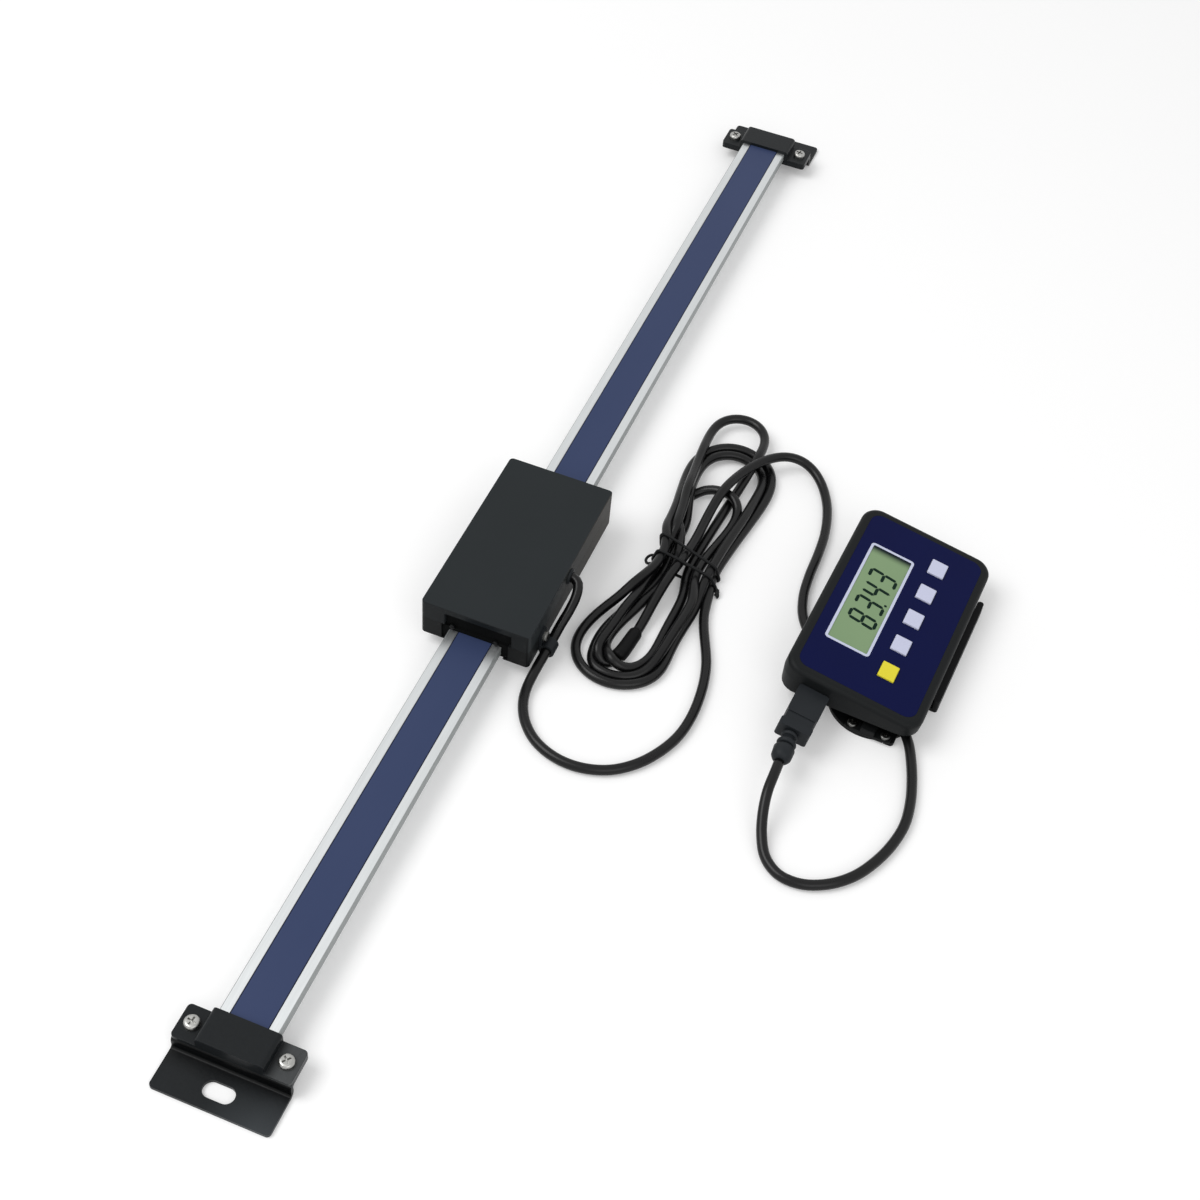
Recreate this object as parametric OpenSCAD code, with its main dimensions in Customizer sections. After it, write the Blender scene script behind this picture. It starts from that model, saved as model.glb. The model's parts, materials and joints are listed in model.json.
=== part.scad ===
// Slim digital linear scale: aluminium beam on two end brackets, sliding reader head,
// and a separate display on a bundled lead.
// +X runs along the beam, +Y to the side away from the display, +Z up from the mounting face.
// The origin lies midway between the two bracket slots, on the mounting face.

/* [Beam] */
// Length over both bracket feet
overall_l = 566; // [300:1:1200]
// Width of the aluminium beam
beam_w = 21; // [19:0.5:24]
// Thickness of the aluminium beam
beam_h = 4.2; // [3.4:0.1:4.6]
// Height of the beam's underside above the mounting face
beam_z = 7.1; // [6.6:0.1:9]
// Width of the measuring strip
strip_w = 13.7; // [10:0.1:15]
// Thickness of the etched measuring grid under the film
grid_t = 0.75; // [0.4:0.05:1]
// Thickness of the coloured film over the grid
film_t = 0.25; // [0.1:0.05:0.4]
// Chamfer along the beam's edges
beam_chamfer = 0.4; // [0.1:0.1:0.8]

/* [End brackets] */
// Width of the bracket foot, flange and cap
foot_w = 42; // [40:0.5:43]
// Depth of the foot, from its outer edge to the web
foot_d = 14.6; // [13:0.1:20]
// Depth of the upper flange under the end cap
flange_d = 12.4; // [11:0.1:18]
// Thickness of the bracket sheet and of the cap's walls
sheet_t = 1.5; // [1:0.1:2]
// Inner bend radius of the bracket sheet
bend_r = 1; // [0.5:0.1:1.5]
// Radius of the bracket's corners in plan
corner_r = 1.5; // [0.5:0.1:3]
// Overall length of the mounting slot
slot_l = 11; // [9:0.1:14]
// Width of the mounting slot
slot_w = 6; // [4.5:0.1:7]
// Distance from the foot's outer edge to the slot's centre line
slot_edge = 6.8; // [5:0.1:8]
// Distance between the two screws of an end cap
cap_screw_gap = 33; // [31:0.5:34]

/* [Reader head] */
// Length of the reader head
head_l = 83; // [76:1:110]
// Width of the reader head
head_w = 43.6; // [43:0.2:50]
// Height of the reader head
head_h = 16.5; // [15:0.1:22]
// Drop of the head's underside below the beam's underside
head_drop = 1.6; // [1.4:0.1:1.8]
// Height of the seam between housing and cover above the head's underside
seam_h = 8.2; // [7.7:0.1:8.6]
// Place of the head's centre along the beam
head_x = -43.5; // [-80:0.5:80]
// Wall thickness of the head cover
cover_wall = 1.8; // [1.2:0.1:2.4]
// Thickness of the side guides of the beam
guide_t = 0.95; // [0.6:0.05:1]
// Running clearance of the guides on the beam
run_gap = 0.05; // [0.03:0.01:0.1]
// Thickness of the head's base plate
base_t = 1.2; // [1:0.1:1.2]
// Distance between mounting threads along the head
thread_gap_x = 44; // [30:1:50]
// Distance between mounting threads across the head
thread_gap_y = 32; // [31:0.5:33]
// Core radius of the mounting threads
thread_r = 1.65; // [1.25:0.05:1.65]

/* [Readout] */
// Length of the display case
case_l = 92.6; // [86:0.2:110]
// Width of the display case
case_w = 54.4; // [50:0.2:60]
// Thickness of the front case
front_h = 6.5; // [6.2:0.1:8]
// Thickness of the whole case at mid width
case_h = 12.6; // [12:0.1:16]
// Slope of the display face
face_tilt = 8.5; // [6:0.5:10]
// Corner radius of the case in plan
case_r = 7; // [5:0.5:8]
// Rounding of the front case's upper edge
edge_r = 2.2; // [1:0.1:2.4]
// Wall thickness of the case
case_wall = 1.6; // [1.2:0.1:2]
// Length of the glass window
lcd_l = 51.6; // [46:0.2:54]
// Width of the glass window
lcd_w = 16.1; // [14:0.1:17]
// Key length along the case
key_l = 7.4; // [6:0.1:9]
// Key width across the case
key_w = 6.6; // [5.5:0.1:7.2]
// Pitch of the keys
key_pitch = 14.4; // [12:0.1:15]
// Height of a key above the face
key_proud = 0.8; // [0.75:0.05:1.2]
// Travel of a key
key_travel = 0.7; // [0.4:0.05:0.7]
// Height of the case's floor above the table
stand_h = 5.8; // [5.7:0.1:8]

/* [Lead] */
// Diameter of the lead
cord_d = 3.9; // [3.5:0.1:4]

/* [Hidden] */
$fn = 48;
eps = 0.01;

// Colours
aluminium = [0.78, 0.79, 0.8];
film_blue = [0.14, 0.18, 0.38];
coat_black = [0.07, 0.075, 0.08];
plastic_black = [0.1, 0.11, 0.115];
bright_steel = [0.75, 0.75, 0.73];
board_green = [0.08, 0.3, 0.16];
key_lavender = [0.75, 0.78, 0.9];

// Beam and brackets
half_l = overall_l / 2;
web_x = half_l - foot_d;
flange_x = web_x - flange_d;
beam_top = beam_z + beam_h;
end_gap = 0.2;
beam_l = 2 * (web_x - sheet_t - end_gap);
strip_gap = 0.1;
slot_x = half_l - slot_edge;
cap_gap = 0.1;
cap_half = beam_w / 2 + cap_gap + sheet_t;
cap_top = beam_top + sheet_t;
cap_screw_x = flange_x + flange_d / 2;
m3_r = 1.5;
screw_gap = 0.12;
pan_r = 2.7;
pan_h = 2;
cap_screw_l = 5;

// Reader head
head_z = beam_z - head_drop;
seam_z = head_z + seam_h;
head_top = head_z + head_h;
head_r = 1.6;
channel_half = beam_w / 2 + run_gap + guide_t;
pocket_edge = 3.6;
pocket_side = 2.2;
plate_gap = 0.1;
base_top = head_z + base_t;
board_t = 1.2;
read_gap = 0.3;
board_z = beam_top + read_gap;
board_half = channel_half + 2.5;
board_l = head_l - 13;
board_screw_x = board_l / 2 - 4;
board_screw_y = channel_half + 1.3;
board_screw_r = 0.7;
board_screw_head_r = 1.2;
head_screw_x = head_l / 2 - 7.5;
head_screw_y = 16;
head_screw_top = head_top - 3.5;
boss_r = 2.9;
chip_l = 10;
chip_h = 1.4;
header_l = 8;
header_w = 5;
header_h = 4;
header_wall = 0.8;
wiper_t = 2;
wiper_set = 0.6;
wiper_half = channel_half + 1.9;
wiper_lip = 0.6;
guide_l = 12;
guide_x = head_l / 2 - 13.5;
guide_h = beam_h - 0.6;
gib_l = head_l - 24;
gib_screw_r = 1.25;
gib_screw_x = gib_l / 2 - 10;
gib_screw_z = beam_z + beam_h / 2;
exit_x = head_x - 2.9;
exit_z = head_top - 4.6;
cord_r = cord_d / 2;
bore_gap = 0.06;
grommet_r = cord_r + 0.7;
side_y = -head_w / 2;
clip_x = head_x - head_l / 2 + 11.9;
clip_w = 5;
clip_t = 1.1;
clip_ring_r = cord_r + bore_gap + clip_t;
clip_y = side_y - clip_ring_r;
clip_z = head_z + 1;
clip_screw_z = clip_z + clip_ring_r + 2.35;
clip_screw_r = 1.2;
clip_head_r = 2.1;

// Readout: placed by its centre and turned a little on the table
readout_x = -11.8;
readout_y = -139.4;
readout_yaw = -3.6;
face_z = stand_h + case_h;
overlay_t = 0.4;
overlay_edge = 3.6;
overlay_l = case_l - 2 * overlay_edge;
overlay_w = case_w - 2 * overlay_edge;
overlay_r = case_r - overlay_edge + 1;
front_top_t = 2;
seam_shift = front_h * sin(face_tilt);
rear_half = case_w / 2 * cos(face_tilt);
lcd_u = 1.1;
lcd_v = case_w / 2 - 17.3;
key_u = 1.3;
key_v = -case_w / 2 + 19.2;
key_gap = 0.15;
key_flange = 0.9;
key_flange_t = 0.8;
mat_t = 0.5;
mat_dome_r = 2.6;
rb_t = 1.2;
rb_top = -5.6;
rb_l = case_l - 19;
rb_w = case_w - 2 * case_wall - 3;
boss_u = case_l / 2 - 6;
boss_v = case_w / 2 - 5.2;
case_boss_r = 2.5;
case_screw_r = 1.0;
case_screw_head_r = 1.8;
case_screw_seat = 1.6;
case_screw_l = 5;
rear_floor = 1.4;
end_slope = 3;
socket_v = 12.6;
socket_l = 9;
socket_w = 7.7;
socket_h = 3.9;
socket_drop = rb_top - rb_t - socket_h / 2;
plug_gap = 0.4;
plug_l = 24;
plug_w = 12;
plug_h = 7;
plug_reach = plug_gap + plug_l;
relief_l = 9.5;
battery_r = 10;
battery_h = 3.2;
battery_clip_w = 6;
battery_u = case_l / 2 - 30.2;
battery_y = 10;
stand_t = 1.6;
spine_w = 12;
pillar_w = 8;
rest_l = 16;
rest_inset = 13;
lip_foot_w = 7;
tab_l = 11;
stand_screw_r = 1.3;
stand_screw_x = 10;
stand_screw_y = -rear_half + 10.3;
spine_l = case_l - 28;
rest_u = case_l / 2 - 32.2;
lip_l = case_l - 36.6;
lip_u = case_l / 2 - 41.1;
lip_h = 6;
disc_u = -case_l / 2 + 17.4;
disc_v = -6.3;
disc_r = 17.8;
tab_v = -19.3;
tab_w = 9;
lip_t = 2.5;
lip_gap = 0.3;
lip_y = seam_shift - rear_half - lip_gap - lip_t / 2;
keeper_u = -case_l / 2 + 1.7;
keeper_v = -9.1;
keeper_gap = 12.8;
keeper_w = 4.6;
keeper_t = 1.1;

// Lead: points of its two free stretches, from the head and to the display's plug
head_route = [
    [-46.4, -18.6, 17.4], [-46.4, -22.9, 17.4], [-47.5, -25.5, 16.9], [-51.5, -27, 15.4],
    [-57.5, -26.9, 12.8], [-63.5, -25.7, 9.4], [-69.6, -24.91, 6.5], [-76.6, -24.91, 6.5],
    [-84, -24.2, 4.2], [-91, -24, 2.4], [-98, -25.5, 1.96], [-105.5, -29.5, 1.96],
    [-112, -36.3, 1.96], [-115.8, -45.5, 1.96], [-116.2, -55, 1.96], [-113, -65, 1.96],
    [-106.5, -73, 1.96], [-98, -78.8, 1.96], [-88.5, -82.6, 1.96], [-78.5, -84, 1.96],
    [-68, -83.7, 1.96], [-58, -82.2, 1.96], [-48.5, -79.4, 1.96], [-39.5, -75.6, 1.96],
    [-31.5, -71.4, 2.2], [-25, -67.5, 2.8]];
readout_route = [
    [67, -75.5, 4.6], [67, -82, 3.2], [62.5, -89, 2], [54, -95, 1.96], [43, -99.3, 1.96],
    [31, -101.8, 1.96], [19, -102.6, 1.96], [7, -102.8, 1.96], [-4.5, -104, 1.96],
    [-14.5, -107.2, 1.98], [-22.5, -113, 2.2], [-28, -120.5, 3.2], [-33, -128, 3.62],
    [-38, -135.5, 3.62], [-42.2, -143.3, 3.62], [-46, -150.3, 3.62], [-50.4, -156, 3.62],
    [-56.4, -160.6, 3.3], [-64, -164, 2.6], [-72, -166.6, 2.05], [-81.5, -168.6, 1.96],
    [-91.5, -169.2, 1.96],
    [-101.5, -167.4, 1.96], [-111, -163.8, 1.96], [-119.6, -158.6, 1.96], [-126.2, -151.4, 1.96],
    [-130, -142.8, 1.96], [-129.6, -134.6, 1.96], [-124.9, -128.2, 2.1], [-118, -124.3, 3.9],
    [-111, -122, 7.2], [-104, -120.9, 10.3]];

// Points of an arc about [x, y], from angle a to angle b
function arc(x, y, r, a, b, n = 6) = [for (i = [0:n]) let (t = a + (b - a) * i / n)
    [x + r * cos(t), y + r * sin(t)]];

// Flat rectangle with round corners, centred
module round_rect(l, w, r) {
    square([l - 2 * r, w], center = true);
    square([l, w - 2 * r], center = true);
    for (sx = [-1, 1], sy = [-1, 1]) translate([sx * (l / 2 - r), sy * (w / 2 - r)]) circle(r);
}

module round_block(l, w, h, r) linear_extrude(h) round_rect(l, w, r);

// Block centred in X and Y on the given height
module bar(l, w, h, z = 0) translate([-l / 2, -w / 2, z]) cube([l, w, h]);

// Obround slot along Y, cut through from below
module slot_cutter(l, w, h) {
    for (s = [-1, 1]) translate([0, s * (l - w) / 2, -1]) cylinder(r = w / 2, h = h + 2);
    translate([-w / 2, -(l - w) / 2, -1]) cube([w, l - w, h + 2]);
}

// Pan head screw with a cross recess, pointing down, its head on z = 0
module pan_screw(r, l, head_r, head_h) {
    difference() {
        union() {
            translate([0, 0, -l]) cylinder(r = r, h = l + eps);
            rotate_extrude() polygon(concat([[0, 0], [head_r, 0], [head_r, head_h * 0.45]],
                arc(head_r - head_h * 0.55, head_h * 0.45, head_h * 0.55, 0, 90), [[0, head_h]]));
        }
        for (a = [0, 90]) rotate(a)
            translate([0, 0, head_h * 0.45]) bar(head_r * 1.16, head_r * 0.24, head_h);
    }
}

// Flat head screw, its head flush with z = 0 and its shank pointing up
module flat_screw(r, l, head_r) {
    cylinder(r1 = head_r, r2 = r, h = head_r - r);
    translate([0, 0, head_r - r - eps]) cylinder(r = r, h = l - head_r + r + eps);
}

// ---- Scale -------------------------------------------------------------------------------

module beam() color(aluminium) translate([-beam_l / 2, 0, 0]) rotate([90, 0, 90]) linear_extrude(beam_l)
    difference() {
        c = beam_chamfer;
        polygon([[-beam_w / 2 + c, beam_z], [beam_w / 2 - c, beam_z], [beam_w / 2, beam_z + c],
            [beam_w / 2, beam_top - c], [beam_w / 2 - c, beam_top], [-beam_w / 2 + c, beam_top],
            [-beam_w / 2, beam_top - c], [-beam_w / 2, beam_z + c]]);
        translate([-strip_w / 2 - strip_gap, beam_top - grid_t - film_t])
            square([strip_w + 2 * strip_gap, grid_t + film_t + 1]);
    }

module measuring_grid() color(board_green) bar(beam_l, strip_w, grid_t, beam_top - grid_t - film_t);

module blue_film() color(film_blue) bar(beam_l, strip_w, film_t, beam_top - film_t);

// Z-bent bracket at the far end, standing on its foot
module end_bracket() {
    t = sheet_t;
    ri = bend_r;
    ro = bend_r + t;
    difference() {
        intersection() {
            translate([0, foot_w / 2, 0]) rotate([90, 0, 0]) linear_extrude(foot_w)
                polygon(concat([[flange_x, beam_z - t]],
                    arc(web_x - t - ri, beam_z - t - ri, ri, 90, 0),
                    arc(web_x + ri, t + ri, ro, 180, 270),
                    [[half_l, 0], [half_l, t]],
                    arc(web_x + ri, t + ri, ri, 270, 180),
                    arc(web_x - t - ri, beam_z - t - ri, ro, 0, 90),
                    [[flange_x, beam_z]]));
            translate([(flange_x + half_l) / 2, 0, -1])
                round_block(half_l - flange_x, foot_w, beam_z + 2, corner_r);
        }
        translate([slot_x, 0, 0]) slot_cutter(slot_l, slot_w, t);
        for (s = [-1, 1]) translate([cap_screw_x, s * cap_screw_gap / 2, -1])
            cylinder(r = m3_r + screw_gap, h = beam_z + 2);
    }
}

// Hat-shaped end cap over the beam's far end, with a wing for a screw on each side
module end_cap() {
    t = sheet_t;
    wing_top = beam_z + t;
    difference() {
        intersection() {
            union() {
                translate([flange_x, 0, 0]) rotate([90, 0, 90]) linear_extrude(flange_d) union() {
                    translate([-foot_w / 2, beam_z]) square([foot_w, t]);
                    polygon(concat([[-cap_half, beam_z], [cap_half, beam_z]],
                        arc(cap_half - t, cap_top - t, t, 0, 90),
                        arc(-cap_half + t, cap_top - t, t, 90, 180)));
                }
            }
            translate([flange_x + flange_d / 2, 0, beam_z - 1])
                round_block(flange_d, foot_w, cap_top - beam_z + 2, corner_r);
        }
        translate([flange_x - 1, -beam_w / 2 - cap_gap, beam_z - 1])
            cube([flange_d - t + 1, beam_w + 2 * cap_gap, beam_h + 1]);
        for (s = [-1, 1]) translate([cap_screw_x, s * cap_screw_gap / 2, beam_z - 1])
            cylinder(r = m3_r + screw_gap, h = t + 2);
    }
}

module cap_screws() for (s = [-1, 1])
    translate([cap_screw_x, s * cap_screw_gap / 2, beam_z + sheet_t]) rotate(20 + 30 * s)
        pan_screw(m3_r, cap_screw_l, pan_r, pan_h);

module near_bracket() color(coat_black) rotate(180) end_bracket();
module far_bracket() color(coat_black) end_bracket();
module near_end_cap() color(coat_black) rotate(180) end_cap();
module far_end_cap() color(coat_black) end_cap();
module near_cap_screws() color(bright_steel) rotate(180) cap_screws();
module far_cap_screws() color(bright_steel) cap_screws();

// ---- Reader head -------------------------------------------------------------------------

module at_head() translate([head_x, 0, 0]) children();

// Children at the four places of a rectangular pattern
module four(dx, dy) for (sx = [-1, 1], sy = [-1, 1]) translate([sx * dx, sy * dy, 0]) children();

module head_housing() color(plastic_black) at_head() difference() {
    translate([0, 0, head_z]) round_block(head_l, head_w, seam_h, head_r);
    // channel for the beam, ledge for the board, pocket for the base plate
    bar(head_l + 2, 2 * channel_half, seam_h + 2, head_z - 1);
    bar(board_l + 2 * plate_gap, 2 * board_half + 2 * plate_gap, seam_h, board_z);
    bar(head_l - 2 * pocket_edge, head_w - 2 * pocket_side, base_t + 1, head_z - 1);
    // recess for a wiper in each end
    for (s = [-1, 1]) translate([s * (head_l / 2 - (wiper_t + wiper_set) / 2 + 0.5), 0, 0])
        bar(wiper_t + wiper_set + 1, 2 * wiper_half, seam_h + 1, base_top - wiper_lip);
    translate([0, 0, head_z - 1]) four(head_screw_x, head_screw_y)
        cylinder(r = m3_r + screw_gap, h = seam_h + 2);
    translate([0, 0, base_top - 1]) four(thread_gap_x / 2, thread_gap_y / 2)
        cylinder(r = thread_r, h = 5.5);
    four(board_screw_x, board_screw_y) translate([0, 0, board_z - 3])
        cylinder(r = board_screw_r + screw_gap, h = 4);
    for (s = [-1, 1]) translate([s * gib_screw_x, channel_half - 1, gib_screw_z]) rotate([-90, 0, 0])
        cylinder(r = gib_screw_r + screw_gap, h = head_w);
    translate([clip_x - head_x, side_y - 1, clip_screw_z]) rotate([-90, 0, 0])
        cylinder(r = clip_screw_r + screw_gap, h = 6);
}

module head_cover() color(plastic_black) at_head() difference() {
    union() {
        difference() {
            translate([0, 0, seam_z]) round_block(head_l, head_w, head_top - seam_z, head_r);
            bar(head_l - 2 * cover_wall, head_w - 2 * cover_wall, head_top - cover_wall - seam_z + 1,
                seam_z - 1);
        }
        translate([0, 0, seam_z]) four(head_screw_x, head_screw_y)
            cylinder(r = boss_r, h = head_top - seam_z - eps);
    }
    translate([0, 0, seam_z - 1]) four(head_screw_x, head_screw_y)
        cylinder(r = m3_r + screw_gap, h = head_screw_top - seam_z + 1.5);
    // hole for the grommet
    translate([exit_x - head_x, side_y - 1, exit_z]) rotate([-90, 0, 0])
        cylinder(r = grommet_r, h = cover_wall + 2);
}

module head_base_plate() color(bright_steel) at_head() difference() {
    translate([0, 0, head_z])
        round_block(head_l - 2 * (pocket_edge + plate_gap), head_w - 2 * (pocket_side + plate_gap), base_t, 1);
    translate([0, 0, head_z - 1]) four(head_screw_x, head_screw_y) cylinder(r = m3_r + screw_gap, h = base_t + 2);
    translate([0, 0, head_z - screw_gap]) four(head_screw_x, head_screw_y)
        cylinder(r1 = pan_r + 2 * screw_gap, r2 = m3_r + screw_gap, h = pan_r - m3_r + screw_gap);
    translate([0, 0, head_z - 1]) four(thread_gap_x / 2, thread_gap_y / 2) cylinder(r = thread_r, h = base_t + 2);
}

module head_screws() color(bright_steel) at_head() translate([0, 0, head_z])
    four(head_screw_x, head_screw_y) flat_screw(m3_r, head_screw_top - head_z, pan_r);

module slide_pads() color([0.92, 0.92, 0.88]) at_head()
    for (s = [-1, 1]) translate([s * guide_x, 0, 0])
        bar(guide_l, beam_w - 3, head_drop - base_t - run_gap, base_top);

module fixed_guides() color([0.85, 0.8, 0.65]) at_head()
    for (s = [-1, 1]) translate([s * guide_x, -channel_half + guide_t / 2, 0])
        bar(guide_l, guide_t, guide_h, beam_z + 0.3);

module gib_strip() color([0.7, 0.6, 0.35]) at_head()
    translate([0, channel_half - guide_t / 2, 0]) bar(gib_l, guide_t, guide_h, beam_z + 0.3);

module gib_screws() color(bright_steel) at_head() for (s = [-1, 1])
    translate([s * gib_screw_x, channel_half, gib_screw_z]) rotate([-90, 0, 0])
        difference() {
            cylinder(r = gib_screw_r, h = head_w / 2 - channel_half - 0.8);
            translate([-gib_screw_r, -0.2, head_w / 2 - channel_half - 1.5]) cube([2 * gib_screw_r, 0.4, 2]);
        }

// Felt wiper round the beam
module wiper() difference() {
    w = 2 * (wiper_half - plate_gap);
    h = board_z + board_t - (base_top - wiper_lip);
    bar(wiper_t, w, h, base_top - wiper_lip);
    bar(wiper_t + 2, beam_w + 2 * run_gap, beam_h + 2 * run_gap, beam_z - run_gap);
}

module near_wiper() color([0.12, 0.12, 0.12]) at_head()
    translate([-head_l / 2 + wiper_set + wiper_t / 2, 0, 0]) wiper();
module far_wiper() color([0.12, 0.12, 0.12]) at_head()
    translate([head_l / 2 - wiper_set - wiper_t / 2, 0, 0]) wiper();

module sensor_board() color(board_green) at_head() difference() {
    bar(board_l, 2 * board_half, board_t, board_z);
    four(board_screw_x, board_screw_y) translate([0, 0, board_z - 1])
        cylinder(r = board_screw_r + screw_gap, h = board_t + 2);
}

module board_screws() color(bright_steel) at_head() four(board_screw_x, board_screw_y)
    translate([0, 0, board_z + board_t]) pan_screw(board_screw_r, board_t + 2.2, board_screw_head_r, 0.7);

module reader_chip() color([0.06, 0.06, 0.06]) at_head()
    translate([-chip_l, 0, 0]) bar(chip_l, chip_l, chip_h, board_z + board_t);

module cable_header() color([0.9, 0.9, 0.85]) at_head() difference() {
    place = [exit_x - head_x, -9, 0];
    translate(place) bar(header_l, header_w, header_h, board_z + board_t);
    translate(place - [0, header_wall, 0])
        bar(header_l - 2 * header_wall, header_w, header_h, board_z + board_t + header_wall);
}

module cable_grommet() color([0.05, 0.05, 0.05]) translate([exit_x, side_y, exit_z]) rotate([90, 0, 0])
    difference() {
        union() {
            translate([0, 0, -cover_wall - 1]) cylinder(r = grommet_r - screw_gap, h = cover_wall + 1.5);
            cylinder(r1 = grommet_r + 0.7, r2 = grommet_r + 0.3, h = 1);
        }
        translate([0, 0, -cover_wall - 2]) cylinder(r = cord_r + bore_gap, h = cover_wall + 4);
    }

// P-clip: a ring round the lead and an ear screwed to the housing's side
module cable_clip() color(plastic_black) translate([clip_x - clip_w / 2, 0, 0]) difference() {
    union() {
        translate([0, clip_y, clip_z]) rotate([0, 90, 0]) cylinder(r = clip_ring_r, h = clip_w);
        translate([0, side_y - clip_t, clip_z]) cube([clip_w, clip_t, clip_screw_z - clip_z + 2.4]);
    }
    translate([-1, clip_y, clip_z]) rotate([0, 90, 0]) cylinder(r = cord_r + bore_gap, h = clip_w + 2);
    translate([clip_w / 2, side_y + 1, clip_screw_z]) rotate([90, 0, 0])
        cylinder(r = clip_screw_r + screw_gap, h = clip_t + 2);
}

module clip_screw() color(bright_steel) translate([clip_x, side_y - clip_t, clip_screw_z]) rotate([90, 0, 0])
    pan_screw(clip_screw_r, clip_t + 4.5, clip_head_r, 1.6);

// ---- Lead --------------------------------------------------------------------------------

// Tube of eight sides swept along a list of points, its rings square to the route
module tube(path, r) {
    n = len(path);
    sides = 8;
    function unit(v) = v / norm(v);
    points = [for (i = [0:n - 1]) let (
            t = unit(path[min(i + 1, n - 1)] - path[max(i - 1, 0)]),
            a = unit(cross(t, [0, 0, 1])),
            b = cross(a, t))
        for (k = [0:sides - 1]) let (q = 360 * (k + 0.5) / sides)
            path[i] + r * cos(q) * a + r * sin(q) * b];
    faces = concat(
        [[for (k = [0:sides - 1]) k]],
        [for (i = [0:n - 2], k = [0:sides - 1]) let (
                p = i * sides + k,
                q = i * sides + (k + 1) % sides)
            each [[p, p + sides, q], [q, p + sides, q + sides]]],
        [[for (k = [sides - 1:-1:0]) (n - 1) * sides + k]]);
    polyhedron(points, faces, convexity = 10);
}

module head_cord() color(coat_black) tube(head_route, cord_r);

// Outline of the tied hank: two lobes and a waist at the tie
hank_near = [-59, -51];
hank_waist = [-14, -57];
hank_far = [58, -58];
hank_lobe_r = 20.5;
hank_waist_r = 12.5;
hank_h = 10;
tie_t = 0.8;
tie_w = 2.4;
tie_gap = 1.4;

module cord_hank() color(coat_black) linear_extrude(hank_h) {
    hull() {
        translate(hank_near) circle(hank_lobe_r, $fn = 32);
        translate(hank_waist) circle(hank_waist_r, $fn = 32);
    }
    hull() {
        translate(hank_waist) circle(hank_waist_r, $fn = 32);
        translate(hank_far) circle(hank_lobe_r, $fn = 32);
    }
}

module hank_tie() color(coat_black) translate([hank_waist[0], hank_waist[1], 0]) difference() {
    bar(tie_w, 2 * (hank_waist_r + tie_gap + tie_t), hank_h + 0.1 + tie_t);
    bar(tie_w + 1, 2 * (hank_waist_r + tie_gap), hank_h + 1.1, -1);
}

module inline_sleeve() color(coat_black) translate([-63, -47.5, hank_h - 3.2]) rotate([0, 90, -25])
    cylinder(r = cord_r + 1.1, h = 13);

// ---- Readout -----------------------------------------------------------------------------

// On the table, turned with the case; heights as in the whole model
module at_readout() translate([readout_x, readout_y, 0]) rotate(readout_yaw) children();

// On the sloping face, z = 0 at its surface
module on_face() at_readout() translate([0, 0, face_z]) rotate([face_tilt, 0, 0]) children();

// Corner post of the front case with a rounded upper edge
module case_corner() rotate_extrude($fn = 32) polygon(concat([[0, -front_h], [case_r, -front_h]],
    arc(case_r - edge_r, -edge_r, edge_r, 0, 90, 4), [[0, 0]]));

module key_places() for (i = [-2:2]) translate([key_u + i * key_pitch, key_v, 0]) children();

module front_case() color(plastic_black) on_face() difference() {
    hull() four(case_l / 2 - case_r, case_w / 2 - case_r) case_corner();
    difference() {
        translate([0, 0, -front_h - 1])
            round_block(case_l - 2 * case_wall, case_w - 2 * case_wall,
                front_h - front_top_t + 1, case_r - case_wall);
        translate([0, 0, -front_h - 2]) four(boss_u, boss_v) cylinder(r = case_boss_r, h = front_h + 1);
    }
    translate([0, 0, -overlay_t])
        round_block(overlay_l, overlay_w, overlay_t + 1, overlay_r);
    translate([lcd_u, lcd_v, 0]) bar(lcd_l - 2, lcd_w - 1.6, front_h + 2, -front_h - 1);
    translate([lcd_u, lcd_v, 0]) bar(lcd_l + 2 * screw_gap, lcd_w + 2 * screw_gap, 2, -overlay_t - 0.8);
    key_places() bar(key_l + 2 * key_gap, key_w + 2 * key_gap, front_h + 2, -front_h - 1);
    translate([0, 0, -front_h - 1]) four(boss_u, boss_v) cylinder(r = case_screw_r + screw_gap, h = front_h - 1);
}

// Wedge below the front case, its ends sloping in at the floor and its top cut to the seam
module rear_solid(shrink = 0, floor_z = 0, seam_drop = 0) intersection() {
    translate([0, seam_shift, stand_h + floor_z]) hull() {
        linear_extrude(eps)
            round_rect(case_l - 2 * shrink - 2 * end_slope, 2 * (rear_half - shrink), case_r - shrink, $fn = 32);
        translate([0, 0, end_slope]) linear_extrude(case_h + 10)
            round_rect(case_l - 2 * shrink, 2 * (rear_half - shrink), case_r - shrink, $fn = 32);
    }
    translate([0, 0, face_z]) rotate([face_tilt, 0, 0])
        translate([-case_l, -case_w, -front_h - seam_drop - 40]) cube([2 * case_l, 2 * case_w, 40]);
}

// Turned into the face's plane, for cuts made from inside the case's own frame
module tilted() translate([0, 0, face_z]) rotate([face_tilt, 0, 0]) children();

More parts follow.
